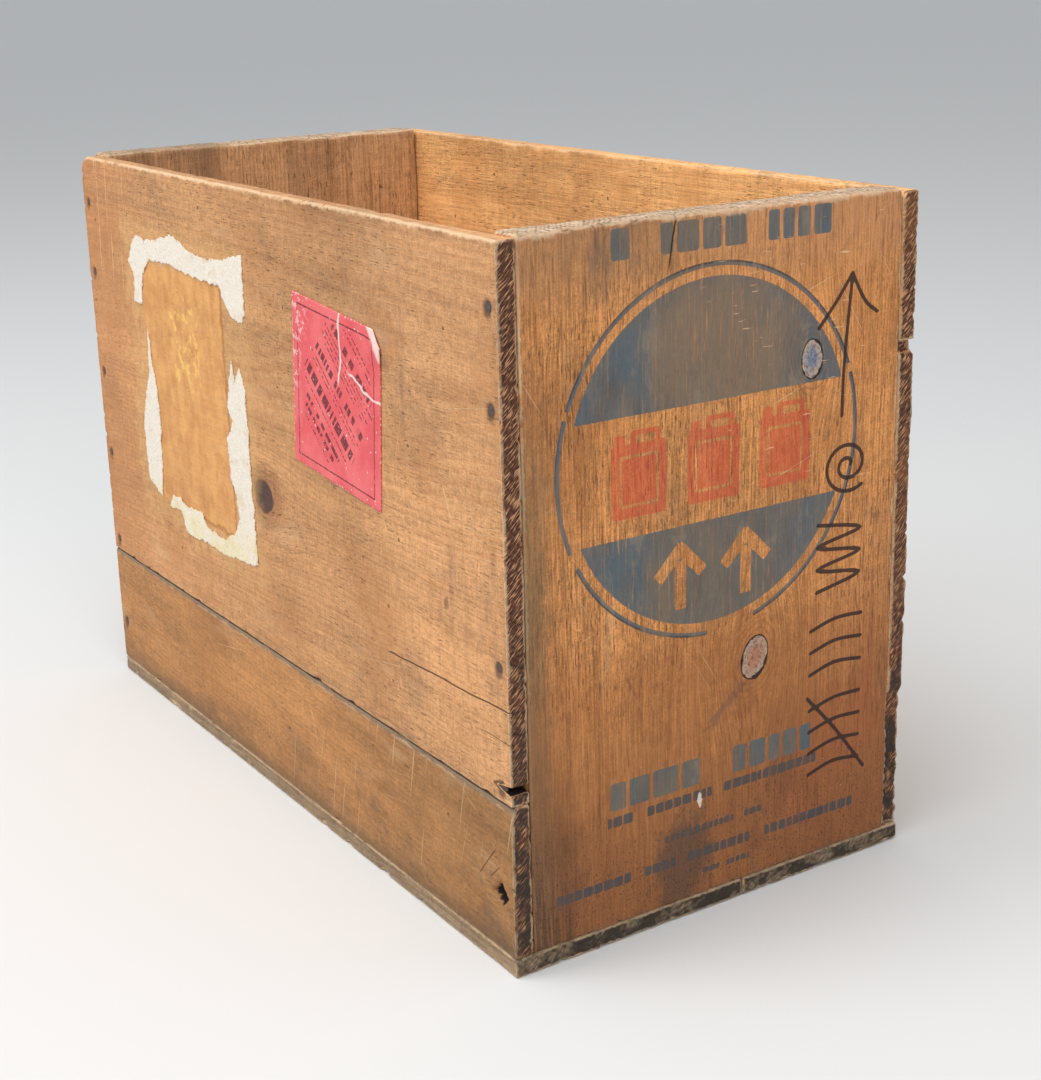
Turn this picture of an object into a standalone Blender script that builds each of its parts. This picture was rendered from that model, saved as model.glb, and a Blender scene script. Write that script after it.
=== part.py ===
"""Nailed softwood shipping crate with an open top, sized for two square cans.

Two thick end panels stand between thin long sides, and thin bottom boards lie under
everything. Each long side and the bottom is two boards wide, and box nails hold it
all together. Paper labels are glued to one long side.

Metres, +Z up. The origin is the centre of the footprint on the ground. +X points out
of the printed end panel and -Y out of the side with the labels.
"""

import math

import bmesh
import bpy
from mathutils import Matrix, Vector

OBJECT_NAME = "nailed_wooden_crate"
CUTTER_NAME = "crate_cutters"
MM = 0.001

# Overall sizes, over the outsides of the boards
LENGTH = 0.5207
WIDTH = 0.2590
SIDE_HEIGHT = 0.3683

# Boards
SIDE_THICKNESS = 0.0105
END_THICKNESS = 0.0206
BOTTOM_THICKNESS = 0.0100
END_RISE = 0.0018  # the end panels stand this far above the sides
LABEL_SIDE_SEAM_HEIGHT = 0.0925  # ground to the seam in the side with the labels
PLAIN_SIDE_UPPER_WIDTH = 0.0788  # the narrow top board of the other side
BOTTOM_SEAM_OFFSET = 0.0158  # the bottom's seam, from the crate's middle towards +Y
EDGE_ROUND = 0.0006
FIT_GAP = 0.0003
PLAIN_SIDE_GAP = 0.0012  # the side at +Y has sprung away from the end panels

# Wear that changes a board's outline
WORN_CORNER_RADIUS = 0.0130
WORN_CORNER_STEPS = 6
SEAM_CHAMFER = 0.0022
SPLIT_HEIGHT = 0.0034
SPLIT_BEHIND_NAIL = 0.0030
NOTCH_HEIGHT = 0.0065
NOTCH_DEPTH = 0.0040
CRACK_LENGTH = 0.0240
CRACK_WIDTH = 0.0008
CRACK_DEPTH = 0.0060
CRACK_SIDE_INSET = 0.0900  # from the end panel's edge at -Y
CRACK_SLANT = math.radians(11.0)
CUT_OVERSHOOT = 0.0020

# Box nails, all alike
NAIL_LENGTH = 0.0445
NAIL_SHANK_RADIUS = 0.0012
NAIL_HEAD_RADIUS = 0.0033
NAIL_HEAD_THICKNESS = 0.0010
NAIL_HEAD_CROWN = 0.0003
NAIL_POINT_LENGTH = 0.0040
NAIL_SINK = 0.0004  # how far a head is driven below the wood
NAIL_SIDES = 10

# Nail places. Shares run up a board from its lower edge.
SIDE_NAIL_INSET = 0.0085  # from the crate's end, in the outer half of the end panel
LABEL_UPPER_SHARES_PRINTED = (0.030, 0.256, 0.714, 0.888)
LABEL_UPPER_SHARES_PLAIN = (0.030, 0.260, 0.470, 0.720, 0.890)
LABEL_LOWER_SHARE = 0.350
PLAIN_UPPER_SHARES = (0.260, 0.760)
PLAIN_LOWER_SHARES = (0.110, 0.370, 0.630, 0.910)
BOTTOM_NAIL_INSET = 0.0140  # from the crate's end, clear of the side nails
BOTTOM_END_SHARES_WIDE = (0.220, 0.560, 0.880)
BOTTOM_END_SHARES_NARROW = (0.300, 0.740)
BOTTOM_SIDE_SHARES = (0.190, 0.500, 0.810)  # along the crate
SPLIT_NAIL_LEAN = math.radians(6.0)

# The hole that a lost nail left, torn open at its mouth
LOST_NAIL_SHARE = 0.375
LOST_NAIL_INSET = 0.0130
LOST_NAIL_MOUTH = 0.0052
LOST_NAIL_MOUTH_DEPTH = 0.0070
LOST_NAIL_MOUTH_NARROWING = 0.6

# Paper labels on the side at -Y. Places are from the middle of its upper board.
LABEL_THICKNESS = 0.0003
RED_LABEL_WIDTH = 0.0980
RED_LABEL_HEIGHT = 0.0960
RED_LABEL_TILT = math.radians(-5.0)
RED_LABEL_TORN_CORNER = 0.0080
RED_LABEL_PLACE = (0.0980, 0.0360)
WHITE_LABEL_PLACE = (-0.0970, 0.0020)

# Torn outlines in millimetres from the middle of the white label, along and up
TOP_SCRAP = (
    (-89, 74), (-79, 88), (-70, 93), (-63, 90), (-47, 91), (-16, 98), (-4, 96), (9, 91),
    (32, 89), (61, 92), (87, 98), (86, 63), (81, 57), (67, 60), (56, 70), (53, 76),
    (30, 76), (4, 77), (-18, 79), (-52, 79), (-66, 68), (-71, 48), (-84, 48), (-80, 64),
)
LEFT_SCRAP = (
    (-65, 32), (-63, 12), (-58, -5), (-56, -26), (-60, -62), (-63, -80), (-74, -75),
    (-84, -70), (-85, -32), (-77, -12), (-69, 2),
)
RIGHT_SCRAP = (
    (63, 34), (66, 20), (73, 30), (79, 20), (80, -7), (80, -51), (81, -88), (75, -91),
    (60, -92), (28, -95), (7, -94), (-25, -95), (-32, -82), (-52, -83), (-44, -75),
    (-33, -73), (-24, -77), (2, -75), (7, -83), (35, -85), (44, -80), (52, -76),
    (59, -65), (57, -50), (50, -42), (50, -16), (59, -5), (53, 3), (57, 19),
)

# Planes that several boards share
END_X = LENGTH / 2
LABEL_SIDE_OUT = -WIDTH / 2
LABEL_SIDE_IN = LABEL_SIDE_OUT + SIDE_THICKNESS
PLAIN_SIDE_OUT = WIDTH / 2
PLAIN_SIDE_IN = PLAIN_SIDE_OUT - SIDE_THICKNESS
FLOOR_TOP = BOTTOM_THICKNESS + FIT_GAP
PLAIN_SIDE_SEAM_HEIGHT = SIDE_HEIGHT - PLAIN_SIDE_UPPER_WIDTH


def clear_scene():
    for thing in list(bpy.data.objects):
        bpy.data.objects.remove(thing, do_unlink=True)


def new_collection(name, parent):
    collection = bpy.data.collections.new(name)
    parent.children.link(collection)
    return collection


def material(name, colour, roughness, metallic=0.0):
    made = bpy.data.materials.new(name)
    made.use_nodes = True
    shader = made.node_tree.nodes["Principled BSDF"]
    shader.inputs["Base Color"].default_value = (*colour, 1.0)
    shader.inputs["Roughness"].default_value = roughness
    shader.inputs["Metallic"].default_value = metallic
    made.diffuse_color = (*colour, 1.0)
    return made


def mesh_object(name, bm, collection, finish=None):
    mesh = bpy.data.meshes.new(name)
    bm.to_mesh(mesh)
    bm.free()
    made = bpy.data.objects.new(name, mesh)
    collection.objects.link(made)
    if finish:
        mesh.materials.append(finish)
    return made


def add_cutter(name, bm, collection):
    cutter = mesh_object(name, bm, collection)
    cutter.hide_render = True
    cutter.display_type = "WIRE"
    return cutter


def box_mesh(size):
    bm = bmesh.new()
    bmesh.ops.create_cube(bm, size=1.0, matrix=Matrix.Diagonal((*size, 1.0)))
    return bm


def bevel_one_edge(board, middle, width, steps):
    """Round or chamfer the edge whose midpoint is nearest to a world position."""
    bm = bmesh.new()
    bm.from_mesh(board.data)
    weights = bm.edges.layers.float.new("bevel_weight_edge")
    target = middle - board.location

    def distance(edge):
        return ((edge.verts[0].co + edge.verts[1].co) / 2 - target).length

    min(bm.edges, key=distance)[weights] = 1.0
    bm.to_mesh(board.data)
    bm.free()
    rounding = board.modifiers.new("worn_edge", "BEVEL")
    rounding.limit_method = "WEIGHT"
    rounding.width = width
    rounding.segments = steps


def ease_edges(board):
    easing = board.modifiers.new("eased_edges", "BEVEL")
    easing.limit_method = "ANGLE"
    easing.angle_limit = math.radians(40.0)
    easing.width = EDGE_ROUND
    easing.segments = 1


class Crate:
    """The crate's boards, with the holes and cuts that each of them gets."""

    def __init__(self):
        scene_collection = bpy.context.scene.collection
        self.parts = new_collection(OBJECT_NAME, scene_collection)
        self.cutters = new_collection(CUTTER_NAME, scene_collection)
        self.boards = {}
        self.cuts = {}
        self.extents = {}
        self.nail_mesh = None
        self.hole_mesh = None

    def add_board(self, name, low, high, finish):
        low = Vector(low)
        high = Vector(high)
        board = mesh_object(name, box_mesh(high - low), self.parts, finish)
        board.location = (low + high) / 2
        self.boards[name] = board
        self.extents[name] = (low, high)
        self.cuts[name] = new_collection("cuts_in_" + name, self.cutters)
        return board

    def height_at(self, board_name, share):
        low, high = self.extents[board_name]
        return low.z + share * (high.z - low.z)

    def cut(self, cutter, *board_names):
        for name in board_names:
            self.cuts[name].objects.link(cutter)

    def apply_cuts(self):
        for name, board in self.boards.items():
            if not self.cuts[name].objects:
                continue
            cut = board.modifiers.new("cuts", "BOOLEAN")
            cut.operation = "DIFFERENCE"
            cut.solver = "EXACT"
            cut.operand_type = "COLLECTION"
            cut.collection = self.cuts[name]


def turned_mesh(name, profile, finish=None):
    """A mesh holding a profile in the XZ plane, which a Screw modifier turns about Z."""
    bm = bmesh.new()
    points = [bm.verts.new((radius, 0.0, height)) for radius, height in profile]
    for upper, lower in zip(points, points[1:]):
        bm.edges.new((upper, lower))
    mesh = bpy.data.meshes.new(name)
    bm.to_mesh(mesh)
    bm.free()
    if finish:
        mesh.materials.append(finish)
    return mesh


def add_turning(thing):
    turning = thing.modifiers.new("turning", "SCREW")
    turning.axis = "Z"
    turning.angle = math.tau
    turning.steps = NAIL_SIDES
    turning.render_steps = NAIL_SIDES
    turning.use_merge_vertices = True
    turning.merge_threshold = 0.00005
    turning.use_smooth_shade = False


def nail_profile():
    """The nail hangs from the board's face at height 0, point down."""
    top = -NAIL_SINK
    under_head = top - NAIL_HEAD_THICKNESS
    return (
        (0.0, top),
        (NAIL_HEAD_RADIUS * 0.7, top),
        (NAIL_HEAD_RADIUS, top - NAIL_HEAD_CROWN),
        (NAIL_HEAD_RADIUS, under_head),
        (NAIL_SHANK_RADIUS, under_head - NAIL_HEAD_CROWN),
        (NAIL_SHANK_RADIUS, top - NAIL_LENGTH + NAIL_POINT_LENGTH),
        (0.0, top - NAIL_LENGTH),
    )


def nail_hole_profile():
    """The nail's own profile with the fit gap all round, open above the face."""
    head_room = NAIL_HEAD_RADIUS + FIT_GAP
    shank_room = NAIL_SHANK_RADIUS + FIT_GAP
    under_head = -NAIL_SINK - NAIL_HEAD_THICKNESS - FIT_GAP
    tip = -NAIL_SINK - NAIL_LENGTH - FIT_GAP
    return (
        (0.0, CUT_OVERSHOOT),
        (head_room, CUT_OVERSHOOT),
        (head_room, under_head),
        (shank_room, under_head - NAIL_HEAD_CROWN),
        (shank_room, tip + NAIL_POINT_LENGTH),
        (0.0, tip - FIT_GAP),
    )


def drive_nail(crate, name, face_point, direction, boards):
    """Put a nail in at a point on a board's face, with its hole in every board it passes."""
    turn = Vector(direction).to_track_quat("-Z", "Y")
    nail = bpy.data.objects.new(name, crate.nail_mesh)
    hole = bpy.data.objects.new("hole_for_" + name, crate.hole_mesh)
    crate.parts.objects.link(nail)
    for thing in (nail, hole):
        thing.rotation_mode = "QUATERNION"
        thing.rotation_quaternion = turn
        thing.location = face_point
        add_turning(thing)
    hole.hide_render = True
    hole.display_type = "WIRE"
    crate.cut(hole, *boards)


def add_end_panels(crate, finish):
    low_y = LABEL_SIDE_IN + FIT_GAP
    high_y = PLAIN_SIDE_IN - PLAIN_SIDE_GAP
    top = SIDE_HEIGHT + END_RISE
    inner = END_X - END_THICKNESS
    crate.add_board("printed_end_panel", (inner, low_y, FLOOR_TOP), (END_X, high_y, top), finish)
    crate.add_board("plain_end_panel", (-END_X, low_y, FLOOR_TOP), (-inner, high_y, top), finish)


def add_label_side(crate, finish):
    seam = LABEL_SIDE_SEAM_HEIGHT
    low = (-END_X, LABEL_SIDE_OUT, FLOOR_TOP)
    upper_low = (-END_X, LABEL_SIDE_OUT, seam + FIT_GAP)
    lower = crate.add_board("label_side_lower_board", low, (END_X, LABEL_SIDE_IN, seam), finish)
    bevel_one_edge(lower, Vector((0.0, LABEL_SIDE_OUT, seam)), SEAM_CHAMFER, 1)
    high = (END_X, LABEL_SIDE_IN, SIDE_HEIGHT)
    upper = crate.add_board("label_side_upper_board", upper_low, high, finish)
    middle = (LABEL_SIDE_OUT + LABEL_SIDE_IN) / 2
    corner = Vector((-END_X, middle, SIDE_HEIGHT))
    bevel_one_edge(upper, corner, WORN_CORNER_RADIUS, WORN_CORNER_STEPS)


def add_plain_side(crate, finish):
    seam = PLAIN_SIDE_SEAM_HEIGHT
    low = (-END_X, PLAIN_SIDE_IN, FLOOR_TOP)
    crate.add_board("plain_side_lower_board", low, (END_X, PLAIN_SIDE_OUT, seam), finish)
    upper_low = (-END_X, PLAIN_SIDE_IN, seam + FIT_GAP)
    high = (END_X, PLAIN_SIDE_OUT, SIDE_HEIGHT)
    crate.add_board("plain_side_upper_board", upper_low, high, finish)


def add_bottom(crate, finish):
    seam = BOTTOM_SEAM_OFFSET
    low = (-END_X, LABEL_SIDE_OUT, 0.0)
    high = (END_X, seam, BOTTOM_THICKNESS)
    crate.add_board("bottom_board_label_side", low, high, finish)
    low = (-END_X, seam + FIT_GAP, 0.0)
    high = (END_X, PLAIN_SIDE_OUT, BOTTOM_THICKNESS)
    crate.add_board("bottom_board_plain_side", low, high, finish)


def nail_side_board(crate, board, face_y, inward, end, sign, shares):
    """One board of a long side to one end panel, a nail at each share of its height."""
    for number, share in enumerate(shares, start=1):
        place = (sign * (END_X - SIDE_NAIL_INSET), face_y, crate.height_at(board, share))
        name = f"nail_{board.replace('_board', '')}_{end}_{number}"
        drive_nail(crate, name, place, (0.0, inward, 0.0), (board, f"{end}_end_panel"))


def nail_sides(crate):
    upper = "label_side_upper_board"
    lower = "label_side_lower_board"
    out = LABEL_SIDE_OUT
    split_share, *whole_shares = LABEL_UPPER_SHARES_PRINTED
    nail_side_board(crate, upper, out, 1.0, "printed", 1.0, whole_shares)
    nail_side_board(crate, upper, out, 1.0, "plain", -1.0, LABEL_UPPER_SHARES_PLAIN)
    nail_side_board(crate, lower, out, 1.0, "plain", -1.0, (LABEL_LOWER_SHARE,))
    for end, sign in (("printed", 1.0), ("plain", -1.0)):
        out = PLAIN_SIDE_OUT
        nail_side_board(crate, "plain_side_upper_board", out, -1.0, end, sign, PLAIN_UPPER_SHARES)
        nail_side_board(crate, "plain_side_lower_board", out, -1.0, end, sign, PLAIN_LOWER_SHARES)
    drive_split_nail(crate, upper, split_share)


def drive_split_nail(crate, board, share):
    """The lowest nail of the upper board leans in a split that runs out to the board's end."""
    height = crate.height_at(board, share)
    place = Vector((END_X - SIDE_NAIL_INSET, LABEL_SIDE_OUT, height))
    lean = (-math.sin(SPLIT_NAIL_LEAN), math.cos(SPLIT_NAIL_LEAN), 0.0)
    drive_nail(crate, "nail_in_split", place, lean, (board, "printed_end_panel"))
    length = SIDE_NAIL_INSET + SPLIT_BEHIND_NAIL + CUT_OVERSHOOT
    depth = SIDE_THICKNESS + 2 * CUT_OVERSHOOT
    split = add_cutter("split", box_mesh((length, depth, SPLIT_HEIGHT)), crate.cuts[board])
    centre_x = END_X + CUT_OVERSHOOT - length / 2
    split.location = (centre_x, (LABEL_SIDE_OUT + LABEL_SIDE_IN) / 2, height)


def nail_bottom(crate):
    """Nails up through the bottom into the end panels and the long sides."""
    up = (0.0, 0.0, 1.0)
    rows = (
        ("bottom_board_label_side", BOTTOM_END_SHARES_WIDE),
        ("bottom_board_plain_side", BOTTOM_END_SHARES_NARROW),
    )
    for board, shares in rows:
        low, high = crate.extents[board]
        for end, sign in (("printed", 1.0), ("plain", -1.0)):
            for number, share in enumerate(shares, start=1):
                y = low.y + share * (high.y - low.y)
                place = (sign * (END_X - BOTTOM_NAIL_INSET), y, 0.0)
                name = f"nail_{board}_{end}_{number}"
                drive_nail(crate, name, place, up, (board, f"{end}_end_panel"))
    edges = (
        ("label_side", (LABEL_SIDE_OUT + LABEL_SIDE_IN) / 2),
        ("plain_side", (PLAIN_SIDE_OUT + PLAIN_SIDE_IN) / 2),
    )
    for side, y in edges:
        for number, share in enumerate(BOTTOM_SIDE_SHARES, start=1):
            place = (-END_X + share * LENGTH, y, 0.0)
            boards = (f"bottom_board_{side}", f"{side}_lower_board")
            drive_nail(crate, f"nail_bottom_edge_{side}_{number}", place, up, boards)


def tear_out_lost_nail(crate):
    """The hole of a lost nail: its shank's bore and a torn, diamond-shaped mouth."""
    board = "label_side_lower_board"
    height = crate.height_at(board, LOST_NAIL_SHARE)
    place = Vector((END_X - LOST_NAIL_INSET, LABEL_SIDE_OUT, height))
    turn = Vector((0.0, 1.0, 0.0)).to_track_quat("-Z", "Y")
    narrow = Matrix.Diagonal((LOST_NAIL_MOUTH_NARROWING, 1.0, 1.0, 1.0))
    depth = LOST_NAIL_MOUTH_DEPTH + CUT_OVERSHOOT
    mouth = bmesh.new()
    bmesh.ops.create_cone(
        mouth,
        cap_ends=True,
        segments=4,
        radius1=NAIL_SHANK_RADIUS,
        radius2=LOST_NAIL_MOUTH,
        depth=depth,
        matrix=narrow @ Matrix.Translation((0.0, 0.0, CUT_OVERSHOOT - depth / 2)),
    )
    cutter = add_cutter("lost_nail_mouth", mouth, crate.cuts[board])
    bore = bmesh.new()
    length = NAIL_LENGTH + CUT_OVERSHOOT
    radius = NAIL_SHANK_RADIUS
    start = Matrix.Translation((0.0, 0.0, CUT_OVERSHOOT - length / 2))
    bmesh.ops.create_cone(
        bore,
        cap_ends=True,
        segments=NAIL_SIDES,
        radius1=radius,
        radius2=radius,
        depth=length,
        matrix=start,
    )
    bore_cutter = add_cutter("lost_nail_bore", bore, crate.cuts[board])
    crate.cut(bore_cutter, "printed_end_panel")
    for thing in (cutter, bore_cutter):
        thing.rotation_mode = "QUATERNION"
        thing.rotation_quaternion = turn
        thing.location = place


def crack_end_panel(crate):
    """A drying crack that runs down from the printed panel's top edge."""
    panel = "printed_end_panel"
    low, high = crate.extents[panel]
    size = (CRACK_DEPTH + CUT_OVERSHOOT, CRACK_WIDTH, CRACK_LENGTH + CUT_OVERSHOOT)
    crack = add_cutter("drying_crack", box_mesh(size), crate.cuts[panel])
    x = END_X + CUT_OVERSHOOT - size[0] / 2
    z = high.z + CUT_OVERSHOOT - size[2] / 2
    crack.location = (x, low.y + CRACK_SIDE_INSET, z)
    crack.rotation_euler = (CRACK_SLANT, 0.0, 0.0)


def notch_plain_side(crate):
    """A bit broken off the wide board of the plain side, at its seam and the printed end."""
    board = "plain_side_lower_board"
    size = (
        NOTCH_DEPTH + CUT_OVERSHOOT,
        SIDE_THICKNESS + 2 * CUT_OVERSHOOT,
        NOTCH_HEIGHT + CUT_OVERSHOOT,
    )
    notch = add_cutter("seam_notch", box_mesh(size), crate.cuts[board])
    x = END_X + CUT_OVERSHOOT - size[0] / 2
    z = PLAIN_SIDE_SEAM_HEIGHT + CUT_OVERSHOOT - size[2] / 2
    notch.location = (x, (PLAIN_SIDE_OUT + PLAIN_SIDE_IN) / 2, z)


def add_paper(crate, name, outline, place, finish, tilt=0.0):
    """A flat piece of paper on the label side, from an outline along X and up Z."""
    curve = bpy.data.curves.new(name, "CURVE")
    curve.dimensions = "2D"
    curve.fill_mode = "BOTH"
    curve.extrude = LABEL_THICKNESS / 2
    spline = curve.splines.new("POLY")
    spline.points.add(len(outline) - 1)
    for point, (along, up) in zip(spline.points, outline):
        point.co = (along, up, 0.0, 1.0)
    spline.use_cyclic_u = True
    curve.materials.append(finish)
    low, high = crate.extents["label_side_upper_board"]
    paper = bpy.data.objects.new(name, curve)
    crate.parts.objects.link(paper)
    paper.location = (
        (low.x + high.x) / 2 + place[0],
        LABEL_SIDE_OUT - FIT_GAP - LABEL_THICKNESS / 2,
        (low.z + high.z) / 2 + place[1],
    )
    stand_up = Matrix.Rotation(math.radians(90.0), 4, "X")
    paper.rotation_euler = (stand_up @ Matrix.Rotation(tilt, 4, "Z")).to_euler()


def red_label_outline():
    """A square with one corner torn off."""
    half_width = RED_LABEL_WIDTH / 2
    half_height = RED_LABEL_HEIGHT / 2
    torn = RED_LABEL_TORN_CORNER
    return (
        (-half_width, -half_height),
        (half_width, -half_height),
        (half_width, half_height - torn),
        (half_width - torn, half_height),
        (-half_width, half_height),
    )


def add_labels(crate):
    red = material("red_label_paper", (0.80, 0.13, 0.19), 0.75)
    white = material("white_label_paper", (0.80, 0.77, 0.70), 0.85)
    outline = red_label_outline()
    add_paper(crate, "red_label", outline, RED_LABEL_PLACE, red, RED_LABEL_TILT)
    scraps = (
        ("white_scrap_top", TOP_SCRAP),
        ("white_scrap_left", LEFT_SCRAP),
        ("white_scrap_right", RIGHT_SCRAP),
    )
    for name, points in scraps:
        outline = [(along * MM, up * MM) for along, up in points]
        add_paper(crate, name, outline, WHITE_LABEL_PLACE, white)


def build():
    clear_scene()
    crate = Crate()
    steel = material("rusty_nail_steel", (0.10, 0.08, 0.07), 0.65, 0.8)
    crate.nail_mesh = turned_mesh("box_nail", nail_profile(), steel)
    crate.hole_mesh = turned_mesh("box_nail_hole", nail_hole_profile())
    add_end_panels(crate, material("end_panel_wood", (0.45, 0.24, 0.10), 0.70))
    side_wood = material("side_board_wood", (0.56, 0.31, 0.13), 0.68)
    add_label_side(crate, side_wood)
    add_plain_side(crate, side_wood)
    add_bottom(crate, material("bottom_board_wood", (0.33, 0.24, 0.16), 0.85))
    nail_sides(crate)
    nail_bottom(crate)
    tear_out_lost_nail(crate)
    crack_end_panel(crate)
    notch_plain_side(crate)
    for board in crate.boards.values():
        ease_edges(board)
    crate.apply_cuts()
    add_labels(crate)


build()
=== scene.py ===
"""Looks of the nailed crate: worn boards, rusty box nails, torn labels and faded print.

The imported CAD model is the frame. Every board, nail and label here replaces its CAD node
and takes its size and place from it. Metres, +Z up. +X points out of the printed end panel
and -Y out of the side with the labels.
"""

import itertools
import math

import bpy
import numpy as np
from mathutils import Matrix, Vector
from mathutils.geometry import delaunay_2d_cdt


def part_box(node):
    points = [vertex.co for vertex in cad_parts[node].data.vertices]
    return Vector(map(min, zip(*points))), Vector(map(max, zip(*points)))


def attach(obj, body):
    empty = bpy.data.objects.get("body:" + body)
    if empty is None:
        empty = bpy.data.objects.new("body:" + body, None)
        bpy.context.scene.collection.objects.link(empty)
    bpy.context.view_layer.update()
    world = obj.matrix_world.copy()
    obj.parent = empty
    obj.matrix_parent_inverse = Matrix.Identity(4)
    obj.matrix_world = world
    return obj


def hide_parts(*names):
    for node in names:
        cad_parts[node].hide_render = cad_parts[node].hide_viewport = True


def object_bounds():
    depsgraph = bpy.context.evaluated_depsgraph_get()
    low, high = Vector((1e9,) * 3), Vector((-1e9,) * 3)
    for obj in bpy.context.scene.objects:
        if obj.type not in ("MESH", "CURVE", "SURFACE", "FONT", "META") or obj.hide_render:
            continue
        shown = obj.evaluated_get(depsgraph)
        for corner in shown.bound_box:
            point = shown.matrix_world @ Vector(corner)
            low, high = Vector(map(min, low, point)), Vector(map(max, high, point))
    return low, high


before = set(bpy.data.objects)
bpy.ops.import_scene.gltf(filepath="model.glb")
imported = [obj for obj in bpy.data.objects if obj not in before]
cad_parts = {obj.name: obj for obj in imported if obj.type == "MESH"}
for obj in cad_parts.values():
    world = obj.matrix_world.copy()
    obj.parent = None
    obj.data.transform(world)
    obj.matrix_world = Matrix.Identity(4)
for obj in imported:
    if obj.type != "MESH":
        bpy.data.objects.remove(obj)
cad_low, cad_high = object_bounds()

MM = 0.001
X, Y, Z = 0, 1, 2

# Camera: the photograph's place, angles and lens
CAMERA_PLACE = (0.9421, -0.5579, 0.4870)
CAMERA_AZIMUTH = math.radians(57.282)
CAMERA_ELEVATION = math.radians(16.492)
CAMERA_ROLL = math.radians(-1.557)
CAMERA_LENS = 60.916
CAMERA_SHIFT_Y = -0.037

# Places on the crate that the print, the wear and the labels share
LABEL_FACE_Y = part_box("label_side_upper_board")[0].y
SEAM_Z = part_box("label_side_lower_board")[1].z
TOP_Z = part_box("label_side_upper_board")[1].z
PANEL_LOW, PANEL_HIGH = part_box("printed_end_panel")
END_X = cad_high.x
# How deep under a board's face the marks on it have faded out, and are still full
SKIN = (3 * MM, 1.5 * MM)

# Meshes: the smallest and largest pitch, the printed panel's pitch, a thick board's least
# thickness, and numbers that stand for nothing and for endlessly far
MESH_PITCH = (0.9 * MM, 2.3 * MM)
PRINT_PITCH = 1.15 * MM
THICK_BOARD = 15 * MM
TINY = 1e-6
FAR = 1e9
FLOOR_WIDTH = 120.0

# Worn shapes: which boards' edges hands have rounded, the upper board's rounded corner, the
# split with a nail in it, the notch (depth and height) and the hole that a nail has left
TOP_BOARDS = ("label_side_upper_board", "plain_side_upper_board")
RIM_PANELS = ("printed_end_panel", "plain_end_panel")
WORN_CORNER = 13 * MM
SPLIT_HALF_HEIGHT = 1.9 * MM
SPLIT_DEPTH = 12 * MM
NOTCH = (4.0 * MM, 6.5 * MM)
LOST_NAIL = (END_X - 13 * MM, LABEL_FACE_Y, 0.0412)
LOST_NAIL_MOUTH = (7.4 * MM, 8.2 * MM, 6.5 * MM)

# Side knots: along the grain, across it, radius, colour, outline's colour and strength.
# The panel's knots: height, y, radius, colour in the middle and at the rim, and the lean
SIDE_KNOT = (-0.002, 0.190, 0.0108, (0.095, 0.052, 0.045, 1), (0.10, 0.05, 0.03, 1), 0.35)
PANEL_KNOTS = (
    (0.2890, 0.0580, 0.0080, (0.16, 0.20, 0.27, 1), (0.40, 0.31, 0.26, 1), 0.0),
    (0.1360, 0.0220, 0.0095, (0.40, 0.17, 0.10, 1), (0.40, 0.27, 0.19, 1), 0.30),
)

# The print: the emblem's middle as y and z, its disc, its ring and the clear band across it
EMBLEM = (-0.0056, 0.2505)
DISC_RADIUS = 0.0880
RING_RADIUS = 0.0940
RING_WIDTH = 2.6 * MM
# Where the ring is broken: the middle of each gap and half its angle
RING_GAPS = ((math.radians(160), 0.022), (math.radians(205), 0.045), (math.radians(277), 0.16),
             (math.radians(19), 0.025))
BAND = (0.2165, 0.2770)

# Rows of stencil blocks: bottom, top, then the y ranges of the words in the row
ROWS = (
    (0.352, 0.367, ((-0.067, -0.056), (-0.038, 0.020), (0.028, 0.069))),
    (0.074, 0.089, ((-0.071, -0.014), (0.008, 0.062))),
    (0.0650, 0.0705, ((-0.073, -0.055), (-0.048, -0.006), (0.002, 0.066))),
    (0.0465, 0.0505, ((-0.037, 0.010), (0.016, 0.028))),
    (0.0315, 0.0370, ((-0.105, -0.058), (-0.050, -0.030), (-0.022, 0.022), (0.030, 0.094))),
    (0.0215, 0.0250, ((-0.012, 0.001), (0.004, 0.020))),
)

# End grain: between the rings, in them, the saw's slashes, and how strong those are
END_GRAIN = {
    "dark": ((104, 64, 44), (64, 40, 29), (208, 154, 112), 0.80),
    "pale": ((206, 176, 144), (150, 116, 88), (232, 212, 186), 0.60),
    "grey": ((126, 108, 86), (84, 68, 54), (168, 150, 124), 0.55),
}


# ---------------------------------------------------------------- numbers and fields


class Noise:
    """Smooth gradient noise on arrays of points, the same on every run for a given seed."""

    def __init__(self, seed):
        random = np.random.default_rng(seed)
        self.order = random.permutation(256)
        directions = random.normal(size=(256, 3))
        self.directions = directions / np.linalg.norm(directions, axis=1)[:, None]

    def __call__(self, points, feature):
        """Noise from about -1 to 1. A feature's size is one length, or one for each axis."""
        places = np.asarray(points) / np.asarray(feature)
        cell = np.floor(places).astype(int)
        part = places - cell
        smooth = part**3 * (part * (part * 6 - 15) + 10)
        total = np.zeros(len(places))
        for corner in itertools.product((0, 1), repeat=3):
            at = (cell + corner) & 255
            index = self.order[at[:, 0]]
            index = self.order[(index + at[:, 1]) & 255]
            index = self.order[(index + at[:, 2]) & 255]
            slope = ((part - corner) * self.directions[index]).sum(axis=1)
            weight = np.where(np.array(corner) == 1, smooth, 1 - smooth).prod(axis=1)
            total += weight * slope
        return total * 1.8


def smooth_step(value, low, high):
    """Rises smoothly from 0 at low to 1 at high, or falls when low is above high."""
    share = np.clip((value - low) / (high - low), 0.0, 1.0)
    return share * share * (3 - 2 * share)


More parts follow.
